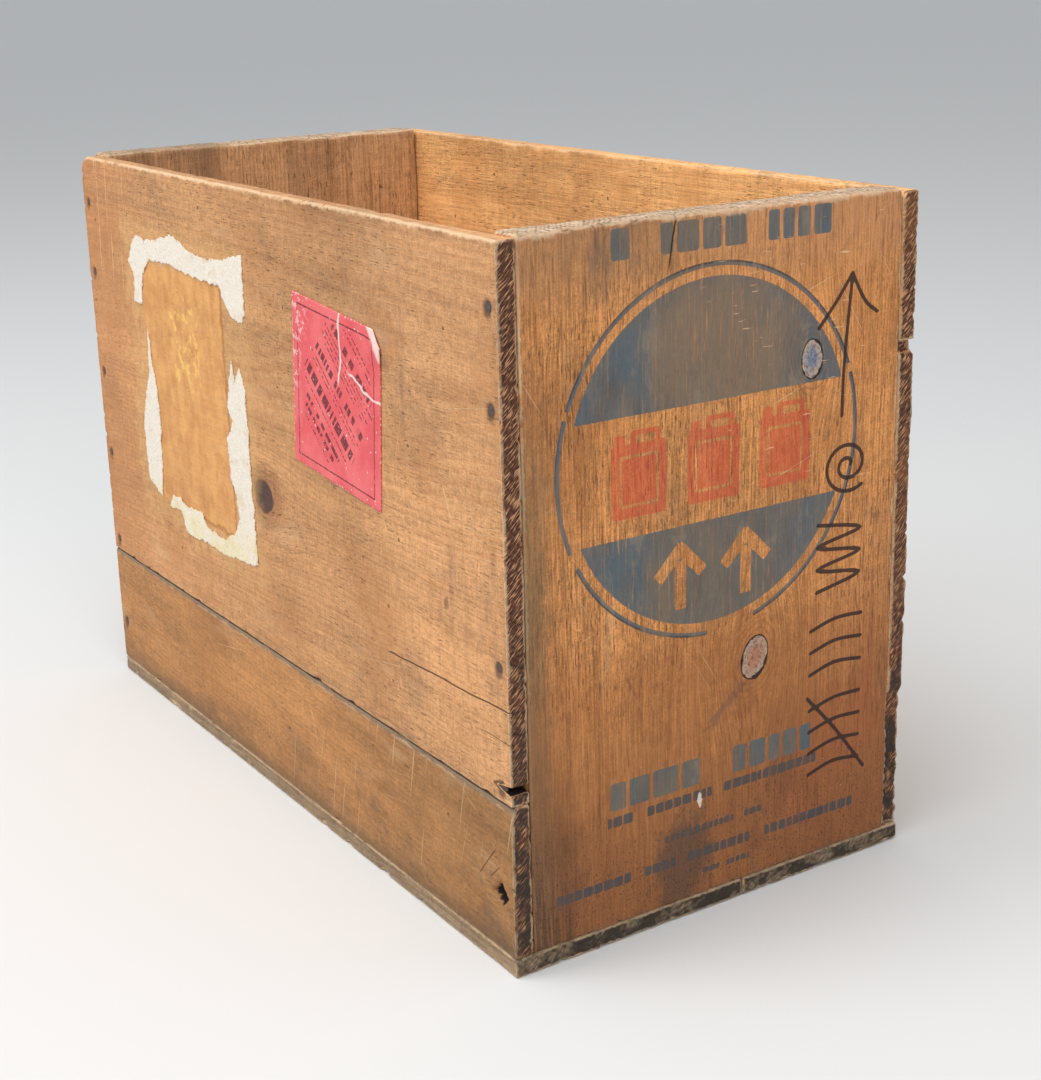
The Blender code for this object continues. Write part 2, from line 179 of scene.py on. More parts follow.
def stations(low, high, hot, fine, coarse, reach):
    """Places from low to high, close together at both ends and near the hot places."""
    hot = [low, high, *hot]
    places = [low]
    while places[-1] < high:
        away = min(abs(places[-1] - place) for place in hot)
        places.append(places[-1] + min(coarse, fine + max(0.0, away - reach) * 0.25))
    places = np.array(places)
    return low + (places - low) * (high - low) / (places[-1] - low)


# ---------------------------------------------------------------- boards


class Board:
    """A board with its own axes: u and v across its outer face, w in from that face."""

    def __init__(self, node, u, v, outer_is_low, grain, seed, edge, chips):
        self.node = node
        self.low, self.high = (np.array(corner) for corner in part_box(node))
        self.u, self.v = u, v
        self.w = 3 - u - v
        self.outer_is_low = outer_is_low
        self.grain = grain
        self.noise = Noise(seed)
        self.edge = edge * MM
        self.chips = chips
        self.size = (self.high - self.low)[[u, v, self.w]]
        self.fine, self.coarse = MESH_PITCH
        self.stride = 2

    def to_world(self, local):
        """Points in the board's own u, v and w as world positions."""
        world = np.empty_like(local)
        world[:, self.u] = self.low[self.u] + local[:, 0]
        world[:, self.v] = self.low[self.v] + local[:, 1]
        if self.outer_is_low:
            world[:, self.w] = self.low[self.w] + local[:, 2]
        else:
            world[:, self.w] = self.high[self.w] - local[:, 2]
        return world

    def to_local(self, place):
        """A world position in the board's own u, v and w."""
        depth = place[self.w] - self.low[self.w]
        if not self.outer_is_low:
            depth = self.high[self.w] - place[self.w]
        return np.array((place[self.u] - self.low[self.u], place[self.v] - self.low[self.v], depth))


def lattice(board, hot_v):
    """A closed box surface: a fine outer face, rim strips and a coarser inner face.

    Returns the points in u, v and w, the faces, and which side each face is on.
    """
    u_places = stations(0.0, board.size[0], (), board.fine, board.coarse, 9 * MM)
    v_places = stations(0.0, board.size[1], hot_v, board.fine, board.coarse, 5 * MM)
    thickness = board.size[2]
    w_places = [0.0, 0.6 * MM, 1.4 * MM, 2.6 * MM]
    w_places += [thickness / 2, thickness - 2.6 * MM, thickness - 1.2 * MM, thickness]
    if thickness > THICK_BOARD:
        w_places[4:5] = [0.25 * thickness, 0.4 * thickness, 0.6 * thickness, 0.78 * thickness]
    n, m = len(u_places), len(v_places)
    grid_u, grid_v = np.meshgrid(u_places, v_places, indexing="ij")
    points = [np.column_stack((grid_u.ravel(), grid_v.ravel(), np.zeros(n * m)))]
    index = np.arange(n * m).reshape(n, m)
    quads = np.stack((index[:-1, :-1], index[1:, :-1], index[1:, 1:], index[:-1, 1:]), axis=-1)
    faces = quads.reshape(-1, 4).tolist()
    sides = [0] * len(faces)

    # The rim runs once round: along v = 0, up u = high, back along v = high, down u = 0
    ring_u = np.concatenate((np.arange(n - 1), np.full(m - 1, n - 1), np.arange(n - 1, 0, -1),
                             np.zeros(m - 1, int)))
    ring_v = np.concatenate((np.zeros(n - 1, int), np.arange(m - 1), np.full(n - 1, m - 1),
                             np.arange(m - 1, 0, -1)))
    ring_side = np.concatenate((np.full(n - 1, 2), np.full(m - 1, 3), np.full(n - 1, 4),
                                np.full(m - 1, 5)))
    previous = index[ring_u, ring_v]
    count = n * m
    for depth in w_places[1:]:
        ring = np.arange(count, count + len(ring_u))
        points.append(np.column_stack((u_places[ring_u], v_places[ring_v],
                                       np.full(len(ring_u), depth))))
        count += len(ring_u)
        strip = np.stack((previous, ring, np.roll(ring, -1), np.roll(previous, -1)), axis=-1)
        faces += strip.tolist()
        sides += ring_side.tolist()
        previous = ring

    # The inner face: every few stations, with the rim's own points along its border
    back = np.full((n, m), -1)
    back[ring_u, ring_v] = previous
    step_u = sorted({*range(0, n, board.stride), n - 1})
    step_v = sorted({*range(0, m, board.stride), m - 1})
    inner = np.array(list(itertools.product(step_u[1:-1], step_v[1:-1])))
    back[inner[:, 0], inner[:, 1]] = np.arange(count, count + len(inner))
    points.append(np.column_stack((u_places[inner[:, 0]], v_places[inner[:, 1]],
                                   np.full(len(inner), thickness))))
    for a, b in zip(step_u, step_u[1:]):
        for c, d in zip(step_v, step_v[1:]):
            loop = [(a, c)]
            loop += [(a, j) for j in range(c + 1, d) if a == 0] + [(a, d)]
            loop += [(i, d) for i in range(a + 1, b) if d == m - 1] + [(b, d)]
            loop += [(b, j) for j in range(d - 1, c, -1) if b == n - 1] + [(b, c)]
            loop += [(i, c) for i in range(b - 1, a, -1) if c == 0]
            faces.append([int(back[place]) for place in loop])
            sides.append(1)
    return np.concatenate(points), faces, sides


def edge_distance(points, size):
    """How far each point of a box's surface is from the box's nearest edge."""
    gaps = np.sort(np.minimum(points, size - points), axis=1)
    return gaps[:, 1]


def wear_down(board, points):
    """Round, chip and splinter a board's edges. Gives the new points and what each lost."""
    noise = board.noise
    size = board.size
    along = board.grain
    radius = board.edge * (1.0 + 0.9 * noise(points, 0.030) + 0.5 * noise(points, 0.007))
    radius = radius + board_extra_round(board, points)
    radius = np.clip(radius, 0.15 * MM, size[2] * 0.42)[:, None]
    core = np.clip(points, radius, size - radius)
    away = points - core
    length = np.linalg.norm(away, axis=1, keepdims=True)
    rounded = core + away / np.maximum(length, 1e-9) * np.minimum(length, radius)

    # Chips: bites out of the edges, long along the grain
    gap = edge_distance(points, size)
    stretch = np.full(3, 5.0 * MM)
    stretch[along] = 14.0 * MM
    bite = np.clip(noise(points + 0.7, stretch) - 0.28, 0.0, 0.6) * 3.4 * MM * board.chips
    bite *= np.exp(-gap / (1.6 * MM))
    core = np.clip(points, size * 0 + 5 * MM, np.maximum(size - 5 * MM, 5.2 * MM))
    core[:, 2] = np.clip(points[:, 2], size[2] * 0.4, size[2] * 0.6)
    inward = core - points
    inward /= np.maximum(np.linalg.norm(inward, axis=1, keepdims=True), 1e-9)
    worn = rounded + inward * bite[:, None]

    # Splinters: the end grain is torn in fine ridges along the fibres
    fibre = np.full(3, 1.3 * MM)
    fibre[along] = 40 * MM
    ends = np.minimum(points[:, along], size[along] - points[:, along])
    rough = np.abs(noise(points, fibre)) * 0.8 * MM + np.abs(noise(points, 5 * MM)) * 0.5 * MM
    rough *= np.exp(-ends / (1.5 * MM))
    towards_middle = np.where(points[:, along] < size[along] / 2, 1.0, -1.0)
    worn[:, along] += towards_middle * rough
    lost = np.clip((bite + rough) / MM, 0.0, 2.0)
    return worn, lost


def board_extra_round(board, points):
    """More rounding on the edges that hands and the ground have worn."""
    extra = np.zeros(len(points))
    top = board.size[1] - points[:, 1]
    outer = points[:, 2]
    if board.node in TOP_BOARDS:
        extra += 0.8 * MM * np.exp(-top / (6 * MM)) * (1 + board.noise(points, 0.05))
    if board.node in RIM_PANELS:
        extra += 1.5 * MM * np.exp(-top / (7 * MM)) * (1.2 + board.noise(points, 0.03))
    if board.node == "label_side_lower_board":
        extra += 1.2 * MM * np.exp(-(top + outer) / (6 * MM))
    return extra


def pull_back(points, amount, size, reach=20 * MM):
    """Shorten a board at its high-u end by an amount for each point, squeezing the last bit."""
    start = size[0] - reach
    past = np.clip(points[:, 0] - start, 0.0, None)
    points[:, 0] -= past * amount / reach


def special_shapes(board, points, flat):
    """The worn corner, split, notch and lost nail's hole. Gives how deep each is, for painted
    shade.
    """
    size = board.size
    deep = np.zeros(len(points))
    at_end = flat[:, 0] > size[0] - TINY
    if board.node == "label_side_upper_board":
        corner = np.column_stack((flat[:, 0] - WORN_CORNER, flat[:, 1] - size[1] + WORN_CORNER))
        inside = (corner[:, 0] < 0) & (corner[:, 1] > 0)
        span = np.abs(corner).max(axis=1)
        length = np.maximum(np.linalg.norm(corner, axis=1), 1e-9)
        pull = np.where(inside, span / length - 1.0, 0.0)
        points[:, 0] += corner[:, 0] * pull
        points[:, 1] += corner[:, 1] * pull
        height = board.to_local(nails["nail_in_split"][0])[1]
        off = np.abs(flat[:, 1] - height) / SPLIT_HALF_HEIGHT
        open_by = np.clip(1.25 - off, 0.0, 1.0)
        pull_back(points, SPLIT_DEPTH * open_by, size)
        deep = np.maximum(deep, at_end * smooth_step(open_by, 0.0, 0.25))
    if board.node == "plain_side_lower_board":
        drop = size[1] - flat[:, 1]
        ragged = 1.0 + 0.5 * board.noise(flat, 3 * MM)
        broken = NOTCH[0] * smooth_step(NOTCH[1] - drop, -1.5 * MM, 1.0 * MM) * ragged
        split_off = 2.6 * MM * smooth_step(0.085 - flat[:, 1], 0.0, 8 * MM) * ragged
        pull_back(points, broken + split_off, size)
    if board.node == "label_side_lower_board":
        hole = board.to_local(LOST_NAIL)
        off = np.abs(flat[:, :2] - hole[:2]) / np.array(LOST_NAIL_MOUTH[:2])
        inside = (1.0 - off.sum(axis=1) + 0.05 * board.noise(flat, 2 * MM)) * (flat[:, 2] < TINY)
        points[:, 2] += LOST_NAIL_MOUTH[2] * np.clip(inside * 1.8, 0.0, 1.0)
        deep = np.maximum(deep, smooth_step(inside, 0.0, 0.30))
    return deep


def node_points(node):
    """The points of a CAD node's mesh."""
    return np.array([vertex.co[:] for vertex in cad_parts[node].data.vertices])


def measure_nail(node):
    """A nail's head centre and the direction from its head to its point."""
    points = node_points(node)
    middle = points.mean(axis=0)
    axis = np.linalg.svd(points - middle)[2][0]
    along = (points - middle) @ axis
    across = np.linalg.norm((points - middle) - np.outer(along, axis), axis=1)
    if along[across.argmax()] > 0:
        axis = -axis
        along = -along
    straight = points[across < 0.2 * MM]
    tip = straight[((straight - middle) @ axis).argmax()]
    return tip - axis * (along.max() - along.min()), axis


nails = {node: measure_nail(node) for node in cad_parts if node.startswith("nail_")}


def sink_nails(board, points, flat):
    """Dish the wood a little round each nail head on the outer face."""
    mark = np.zeros(len(points))
    outer = flat[:, 2] < TINY
    for place, direction in nails.values():
        local = board.to_local(place)
        head_on = abs(direction[board.w]) > 0.9 and abs(local[2]) < 2 * MM
        if not head_on or local[0] < 0 or local[0] > board.size[0]:
            continue
        if local[1] < 0 or local[1] > board.size[1]:
            continue
        off = flat[:, :2] - local[:2]
        distance = np.linalg.norm(off, axis=1)
        dish = 0.55 * MM * smooth_step(4.4 * MM - distance, 0.0, 1.4 * MM)
        points[:, 2] += dish * outer
        drip = np.hypot(off[:, 0], np.where(off[:, 1] < 0, off[:, 1] * 0.62, off[:, 1]))
        near = np.clip(1.0 - drip / (6.5 * MM), 0.0, 1.0) * np.exp(-flat[:, 2] / (0.8 * MM))
        mark = np.maximum(mark, near)
    return mark


def finish_mesh(name, world, faces, material, attributes=()):
    """A smooth-shaded object with one value for each point in every attribute."""
    mesh = bpy.data.meshes.new(name)
    mesh.from_pydata(world.tolist(), [], faces)
    mesh.polygons.foreach_set("use_smooth", [True] * len(mesh.polygons))
    for key, values in attributes:
        layer = mesh.attributes.new(key, "FLOAT", "POINT")
        layer.data.foreach_set("value", np.asarray(values, dtype=np.float32))
    mesh.materials.append(material)
    made = bpy.data.objects.new(name, mesh)
    bpy.context.scene.collection.objects.link(made)
    return made


def signed_volume(world, faces):
    """Positive when the faces look outwards."""
    total = 0.0
    for face in faces[:: max(1, len(faces) // 4000)]:
        corner = world[face[:3]]
        total += np.dot(corner[0] - world.mean(axis=0), np.cross(corner[1] - corner[0],
                                                                 corner[2] - corner[0]))
    return total


def atlas(board, points, faces, sides, mesh):
    """The bake's UV map: the two faces next to each other and the rim strips above them."""
    gap = 4 * MM
    length, height, thickness = board.size
    side_by_side = length < height
    shift = np.array((length + gap, 0.0)) if side_by_side else np.array((0.0, height + gap))
    top = height if side_by_side else 2 * height + gap
    loops = np.concatenate([np.array(face) for face in faces])
    side = np.repeat(np.array(sides), [len(face) for face in faces])
    p = points[loops]
    uv = p[:, :2].copy()
    uv[side == 1] += shift
    for number, axis in ((2, 0), (3, 1), (4, 0), (5, 1)):
        here = side == number
        uv[here, 0] = p[here, axis]
        uv[here, 1] = top + gap + (number - 2) * (thickness + gap) + p[here, 2]
    scale = 1.0 / (max(uv[:, 0].max(), uv[:, 1].max()) + gap)
    layer = mesh.uv_layers.new(name="OFBake")
    layer.data.foreach_set("uv", ((uv + gap / 2) * scale).astype(np.float32).ravel())


def build_board(board, material, more_attributes, hot_v):
    """One worn board, closed all round, that stands for its CAD node."""
    flat, faces, sides = lattice(board, hot_v)
    points, lost = wear_down(board, flat.copy())
    deep = special_shapes(board, points, flat)
    stain = sink_nails(board, points, flat)
    world = board.to_world(points)
    if signed_volume(world, faces) < 0:
        faces = [face[::-1] for face in faces]
    attributes = [("lost", lost), ("nail_mark", stain), ("deep", deep)]
    attributes.append(("edge", edge_distance(flat, board.size) / MM))
    if more_attributes:
        attributes += more_attributes(board.to_world(flat))
    made = finish_mesh("worn_" + board.node, world, faces, material, attributes)
    atlas(board, flat, faces, sides, made.data)
    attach(made, "root")
    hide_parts(board.node)
    return made


# ---------------------------------------------------------------- shader maths


class Wire:
    """The output of a shader node, with the usual arithmetic."""

    def __init__(self, shade, socket):
        self.shade = shade
        self.socket = socket

    def __add__(self, other):
        return self.shade.math("ADD", self, other)

    def __sub__(self, other):
        return self.shade.math("SUBTRACT", self, other)

    def __rsub__(self, other):
        return self.shade.math("SUBTRACT", other, self)

    def __mul__(self, other):
        return self.shade.math("MULTIPLY", self, other)

    def __truediv__(self, other):
        return self.shade.math("DIVIDE", self, other)

    __radd__ = __add__
    __rmul__ = __mul__


class Shade:
    """A material whose nodes are written as calls and sums.

    Its colour is what has been laid on so far, and outer is one on the face that marks go on.
    """

    def __init__(self, name):
        self.material = bpy.data.materials.new(name)
        self.material.use_nodes = True
        self.tree = self.material.node_tree
        self.shader = self.tree.nodes["Principled BSDF"]
        self.place = self.out("ShaderNodeTexCoord", "Object")
        self.axes = dict(zip("xyz", self.split(self.place)))
        self.x, self.y, self.z = self.axes.values()
        self.colour = None
        self.outer = None

    def node(self, kind, inputs, **settings):
        """A new node, with each input linked or set to a value."""
        made = self.tree.nodes.new(kind)
        for key, value in settings.items():
            setattr(made, key, value)
        for key, value in inputs.items():
            if isinstance(value, Wire):
                self.tree.links.new(value.socket, made.inputs[key])
            else:
                made.inputs[key].default_value = value
        return made

    def out(self, kind, output, inputs=None, **settings):
        """One output of a new node."""
        return Wire(self, self.node(kind, inputs or {}, **settings).outputs[output])

    def math(self, operation, first, second=None):
        inputs = {0: first}
        if second is not None:
            inputs[1] = second
        return self.out("ShaderNodeMath", 0, inputs, operation=operation)

    def split(self, vector):
        made = self.node("ShaderNodeSeparateXYZ", {0: vector})
        return [Wire(self, socket) for socket in made.outputs]

    def vector(self, x, y, z):
        return self.out("ShaderNodeCombineXYZ", 0, {0: x, 1: y, 2: z})

    def line(self, value, low, high, bottom=0.0, top=1.0, kind="LINEAR"):
        """Goes from bottom to top as the value goes from low to high."""
        inputs = {"Value": value, "From Min": low, "From Max": high}
        inputs.update({"To Min": bottom, "To Max": top})
        return self.out("ShaderNodeMapRange", 0, inputs, interpolation_type=kind)

    def step(self, value, low, high):
        """Rises smoothly from 0 at low to 1 at high, or falls when low is above high."""
        return self.line(value, low, high, kind="SMOOTHSTEP")

    def near(self, value, low, high):
        """The step of how far the value is from nothing, on either side."""
        return self.step(self.math("ABSOLUTE", value), low, high)

    def length(self, first, second):
        return self.math("SQRT", first * first + second * second)

    def noise(self, vector, scale, detail=2.0, roughness=0.5):
        inputs = {"Vector": vector, "Scale": scale, "Detail": detail, "Roughness": roughness}
        return self.out("ShaderNodeTexNoise", 0, inputs)

    def stretched(self, x, y, z, detail=2.0, roughness=0.5):
        """Noise with its own scale along each axis, for streaks."""
        return self.noise(self.vector(x, y, z), 1.0, detail, roughness)

    def cells(self, vector, scale, output="Distance"):
        return self.out("ShaderNodeTexVoronoi", output, {"Vector": vector, "Scale": scale})

    def mix(self, share, first, second, blend="MIX"):
        inputs = {0: share, 6: first, 7: second}
        return self.out("ShaderNodeMix", 2, inputs, data_type="RGBA", blend_type=blend)

    def cover(self, share, tint, blend="MIX"):
        """Lay a colour over the colour so far."""
        self.colour = self.mix(share, self.colour, tint, blend)

    def tint(self, share, red, green, blue):
        """Lay a colour, given as it looks on a screen, over the colour so far."""
        self.cover(share, linear(red, green, blue))

    def mark(self, share, strength, red, green, blue):
        """Tint the outer face only."""
        self.tint(share * self.outer * strength, red, green, blue)

    def attribute(self, name):
        return self.out("ShaderNodeAttribute", "Fac", attribute_name=name)

    def largest(self, *values):
        total = values[0]
        for value in values[1:]:
            total = self.math("MAXIMUM", total, value)
        return total

    def band(self, value, low, high, soft):
        """One between low and high, falling to nothing over the soft width outside."""
        return self.step(value, low - soft, low) * self.step(value, high + soft, high)

    def bump(self, height, distance, strength):
        """Turn a height into small relief of the given depth."""
        made = self.node("ShaderNodeBump", {"Height": height, "Distance": distance,
                                            "Strength": strength})
        self.tree.links.new(made.outputs[0], self.shader.inputs["Normal"])

    def surface(self, roughness, specular):
        """Give the shader the colour, the roughness and the specular level."""
        for key, value in (("Base Color", self.colour), ("Roughness", roughness)):
            if isinstance(value, Wire):
                self.tree.links.new(value.socket, self.shader.inputs[key])
            else:
                self.shader.inputs[key].default_value = value
        self.shader.inputs["Specular IOR Level"].default_value = specular


def linear(red, green, blue):
    """A colour given as it looks on a screen, 0 to 255, as the shader's linear colour."""
    values = [value / 255 for value in (red, green, blue)]
    return (*[v / 12.92 if v <= 0.04045 else ((v + 0.055) / 1.055) ** 2.4 for v in values], 1.0)


# ---------------------------------------------------------------- wood


class WoodLook:
    """What makes one board's figure: where its pith lay, its year rings and its colours."""

    def __init__(self, axes, pith, tilt, spacing, early, late, contrast, knots, seed,
                 ends="dark", rub=0.55, gain=1.25, brush=0.80, flecks=0.62, sawn=0.34,
                 knots_show=True):
        self.axes = axes
        self.pith = pith
        self.tilt = tilt
        self.spacing = spacing
        self.early = early
        self.late = late
        self.contrast = contrast
        self.knots = knots
        self.knots_show = knots_show
        self.seed = seed
        self.rub = rub
        self.gain = gain
        self.brush = brush
        self.flecks = flecks
        self.sawn = sawn
        self.bare = linear(224, 190, 150)
        colours = END_GRAIN[ends]
        self.end_early, self.end_late, self.slash = (linear(*rgb) for rgb in colours[:3])
        self.slashes = colours[3]


def grain(shade, look):
    """Year rings, fibres and end grain of one board, before any dirt, print or wear."""
    along, across, depth = (shade.axes[letter] for letter in look.axes)
    seed = look.seed
    drift = shade.stretched(along * 2.2 + seed, across * 9.0, depth * 9.0) - 0.5
    swirl = None
    for knot_along, knot_across, radius, *_ in look.knots:
        off_along = (along - knot_along) / (radius * 4.5)
        off_across = across - knot_across
        near = off_across / (radius * 2.6)
        fall = shade.math("EXPONENT", 0.0 - (off_along * off_along + near * near))
        pull = off_across * fall * 0.80
        swirl = pull if swirl is None else swirl + pull
    bent = across - swirl if swirl is not None else across
    from_pith = bent - look.pith[0] - along * look.tilt[0] + drift * 0.030
    below = depth - look.pith[1] - along * look.tilt[1] + drift * 0.012
    radius = shade.length(from_pith, below)
    wobble = shade.stretched(along * 9.0, bent * 140.0 + seed, depth * 140.0) - 0.5
    rings = radius / look.spacing + wobble * 0.55
    part = shade.math("FRACT", rings)
    year = shade.math("FLOOR", rings)
    strength = shade.out("ShaderNodeTexWhiteNoise", 0, {"W": year}, noise_dimensions="1D")
    late = shade.step(part, 0.15, 0.90) * shade.step(part, 1.0, 0.93)
    late = late * (strength * 0.75 + 0.35)
    fibre = shade.stretched(along * 26.0, bent * 900.0, depth * 900.0, 3.0, 0.6)
    streak = shade.stretched(along * 3.0 + seed, bent * 75.0, depth * 75.0, 3.0)
    blotch = shade.stretched(along * 4.0, bent * 9.0 + seed, depth * 9.0, 3.0)
    return {"along": along, "across": bent, "depth": depth, "late": late, "fibre": fibre,
            "streak": streak, "blotch": blotch}


def end_grain_share(shade, look):
    """One where the surface faces along the grain, so that the cut fibres show."""
    geometry = shade.out("ShaderNodeNewGeometry", "Normal")
    normal = dict(zip("xyz", shade.split(geometry)))[look.axes[0]]
    return shade.near(normal, 0.45, 0.80)


def wood(name, look, paint):
    """A board's whole material. Paint adds the marks that only this board has, if any."""
    shade = Shade(name)
    step, tint = shade.step, shade.tint
    g = grain(shade, look)
    ground = shade.mix(g["late"] * look.contrast, look.early, look.late)
    hair = shade.stretched(g["along"] * 90.0, g["across"] * 2300.0, g["depth"] * 2300.0, 2.0)
    grit = shade.noise(shade.place, 900.0, 3.0, 0.75)
    sawn = shade.stretched(g["along"] * 640.0, g["across"] * 70.0, g["depth"] * 70.0 + 3.0, 2.0,
                           0.6)
    fuzz = shade.noise(shade.place, 170.0, 5.0, 0.7)
    tone = (g["fibre"] - 0.5) * look.brush + (hair - 0.5) * 0.55 + (g["streak"] - 0.5) * 0.45
    tone = tone + (g["blotch"] - 0.5) * 0.50 + (grit - 0.5) * 0.95 + (sawn - 0.5) * look.sawn
    tone = tone + (fuzz - 0.5) * 0.55
    light = shade.line(tone * look.gain, -0.35, 0.35, 0.62, 1.38)
    shade.colour = shade.mix(1.0, ground, shade.vector(light, light, light), "MULTIPLY")
    warm = shade.noise(shade.place, 13.0, 4.0, 0.6)
    shade.cover(step(warm, 0.48, 0.70) * 0.40, look.late)
    grey = shade.noise(shade.place, 21.0, 4.0, 0.65)
    tint(step(grey, 0.54, 0.74) * 0.30, 124, 100, 78)
    pale = shade.stretched(g["along"] * 12.0, g["across"] * 30.0 + 5.0, g["depth"] * 30.0, 3.0,
                           0.6)
    tint(step(pale, 0.58, 0.74) * 0.28, 228, 190, 146)
    if look.knots_show:
        for place in look.knots:
            knot(shade, look, place)

    # Dark ticks along the grain, scratches and small dark pits
    fleck = shade.stretched(g["along"] * 150.0, g["across"] * 1250.0 + 9.0, g["depth"] * 1250.0,
                            1.0)
    fleck = step(fleck, look.flecks, look.flecks + 0.08) * step(grey, 0.36, 0.56)
    tint(fleck * 0.66, 84, 54, 36)
    nick = step(grit, 0.655, 0.74) * step(warm, 0.36, 0.56)
    tint(nick * 0.50, 96, 62, 42)
    along, across, depth = (shade.axes[letter] for letter in look.axes)
    scratch = None
    for turn, scale in ((0.18, 9.0), (-0.55, 12.0), (1.25, 11.0)):
        run = along * math.cos(turn) + across * math.sin(turn)
        side = across * math.cos(turn) - along * math.sin(turn)
        field = shade.stretched(run * scale, side * 700.0, depth * 8.0, 1.0)
        here = step(field, 0.725, 0.775)
        scratch = here if scratch is None else shade.largest(scratch, here)
    scratch = scratch * step(warm, 0.42, 0.60)
    tint(scratch * 0.50, 232, 192, 148)
    spots = shade.cells(shade.place, 75.0)
    chance = shade.split(shade.cells(shade.place, 75.0, "Color"))[0]
    pits = step(spots + (hair - 0.5) * 0.12, 0.11, 0.06) * step(chance, 0.84, 0.87)
    tint(pits * 0.70, 70, 46, 32)

    # Dirty edges, and pale wood where they have been knocked off
    edge = shade.attribute("edge")
    ragged = shade.noise(shade.place, 70.0, 5.0, 0.7)
    dirt = step(edge, 8.0, 0.5) * step(ragged, 0.40, 0.70)
    tint(dirt * 0.45, 108, 80, 58)
    end = end_grain_share(shade, look)
    shade.cover(end, end_grain(shade, look, g, ragged))
    lost = shade.attribute("lost")
    splinter = shade.noise(shade.place, 330.0, 3.0, 0.6)
    rubbed = step(edge + (splinter - 0.5) * 3.0, 1.7, 0.5)
    bare = shade.largest(step(lost, 0.25, 0.75) * (1.0 - end) * 0.7, rubbed * look.rub)
    shade.cover(bare * step(ragged, 0.34, 0.54), look.bare)

    # Rust round the nails, and painted shade inside holes and splits
    mark = shade.attribute("nail_mark") + (ragged - 0.5) * 0.35
    tint(step(mark, 0.28, 0.66) * 0.75, 72, 54, 44)
    # Near-black painted shade inside the lost nail's hole and the split
    tint(step(shade.attribute("deep"), 0.35, 0.65), 24, 17, 14)

    height = g["late"] * 0.16 + g["fibre"] * 0.80 + hair * 0.45 + scratch * -0.4
    height = height + sawn * 0.40 + grit * 0.55 - nick * 0.5
    height = height + pits * -1.3 + fleck * -0.5 + end * (ragged * 0.7 + splinter * 1.1)
    rough = shade.line(g["fibre"], 0.3, 0.7, 0.60, 0.80)
    parts = {"height": height, "rough": rough, "late": g["late"], "ragged": ragged,
             "hair": hair, "splinter": splinter, "grit": grit}
    if paint:
        paint(shade, parts)
    shade.surface(parts["rough"], 0.25)
    shade.bump(parts["height"], 0.32 * MM, 0.85)
    return shade.material


def end_grain(shade, look, g, ragged):
    """Cut fibres: dark year rings crossed by short pale slashes from the saw."""
    step = shade.step
    along, first, second = (shade.axes[letter] for letter in look.axes)
    slashes = shade.stretched((first - second) * 1000.0, (first + second) * 125.0,
                              along * 4.0, 1.0, 0.5)
    cut = g["late"] * 0.55 + (ragged - 0.5) * 0.9 + 0.25
    colour = shade.mix(step(cut, 0.0, 0.9), look.end_early, look.end_late)
    colour = shade.mix(step(slashes, 0.52, 0.66) * look.slashes, colour, look.slash)
    deep = step(slashes, 0.44, 0.34)
    colour = shade.mix(deep * 0.55, colour, linear(38, 26, 20))
    low = step(shade.z, 0.21, 0.05) * 0.9
    return shade.mix(low * step(ragged, 0.38, 0.55), colour, linear(50, 43, 37))


def knot(shade, look, place):
    """A knot with its own rings, a ragged outline and a shadow in the wood round it."""
    step = shade.step
    knot_along, knot_across, radius, heart, rim, rim_share = place
    along, across = (shade.axes[letter] for letter in look.axes[:2])
    off_along = (along - knot_along) * 0.88
    off_across = (across - knot_across) * 1.08
    away = shade.length(off_along, off_across)
    ragged = shade.noise(shade.place, 110.0, 3.0, 0.6) - 0.5
    broad = shade.noise(shade.place, 38.0, 2.0) - 0.5
    away = away + ragged * (radius * 0.42)
    swirl = away + broad * (radius * 2.2)
    halo_rings = shade.math("FRACT", swirl / (radius * 0.36))
    halo = step(swirl, radius * 2.7, radius * 0.8)
    shade.tint(halo * 0.46, 146, 94, 60)
    shade.tint(halo * step(halo_rings, 0.35, 0.95) * 0.30, 112, 70, 44)
    inside = step(away, radius * 1.06, radius * 0.92)
    rings = shade.math("FRACT", away / (radius * 0.21))
    spoke = shade.stretched(off_along * 260.0, off_across * 260.0, 1.0, 3.0, 0.7)
    dark = tuple(value * 0.45 for value in heart[:3]) + (1.0,)
    body = shade.mix(step(rings, 0.2, 0.9) * 0.35 + step(spoke, 0.48, 0.7) * 0.4, heart, dark)
    shade.cover(inside * 0.94, body)
    outline = shade.band(away, radius * 0.93, radius * 1.03, radius * 0.07)
    shade.cover(outline * rim_share, rim)


# ---------------------------------------------------------------- marks on single boards


def crack_line(shade, start, end, wobble, width):
    """A thin dark line from one point to another on the label side, given as x and z."""
    run = (shade.x - start[0]) / (end[0] - start[0])
    straight = run * (end[1] - start[1]) + start[1]
    wave = shade.stretched(shade.x * 28.0, start[1] * 40.0, 0.0, 2.0) - 0.5
    off = shade.math("ABSOLUTE", shade.z - straight - wave * wobble)
    thick = shade.band(run, 0.04, 0.99, 0.04) * width
    return shade.step(off, thick * 1.25 + 0.02 * MM, thick * 0.6)


def long_scratches(shade, lean, across, threshold):
    """Thin pale scratches that run up the label side, leaning over by a share of their height."""
    x, z = shade.x, shade.z
    run = z + x * lean
    side = x - z * lean
    field = shade.stretched(run * 11.0, side * across, lean * 9.0, 1.0)
    return shade.step(field, threshold, threshold + 0.05)


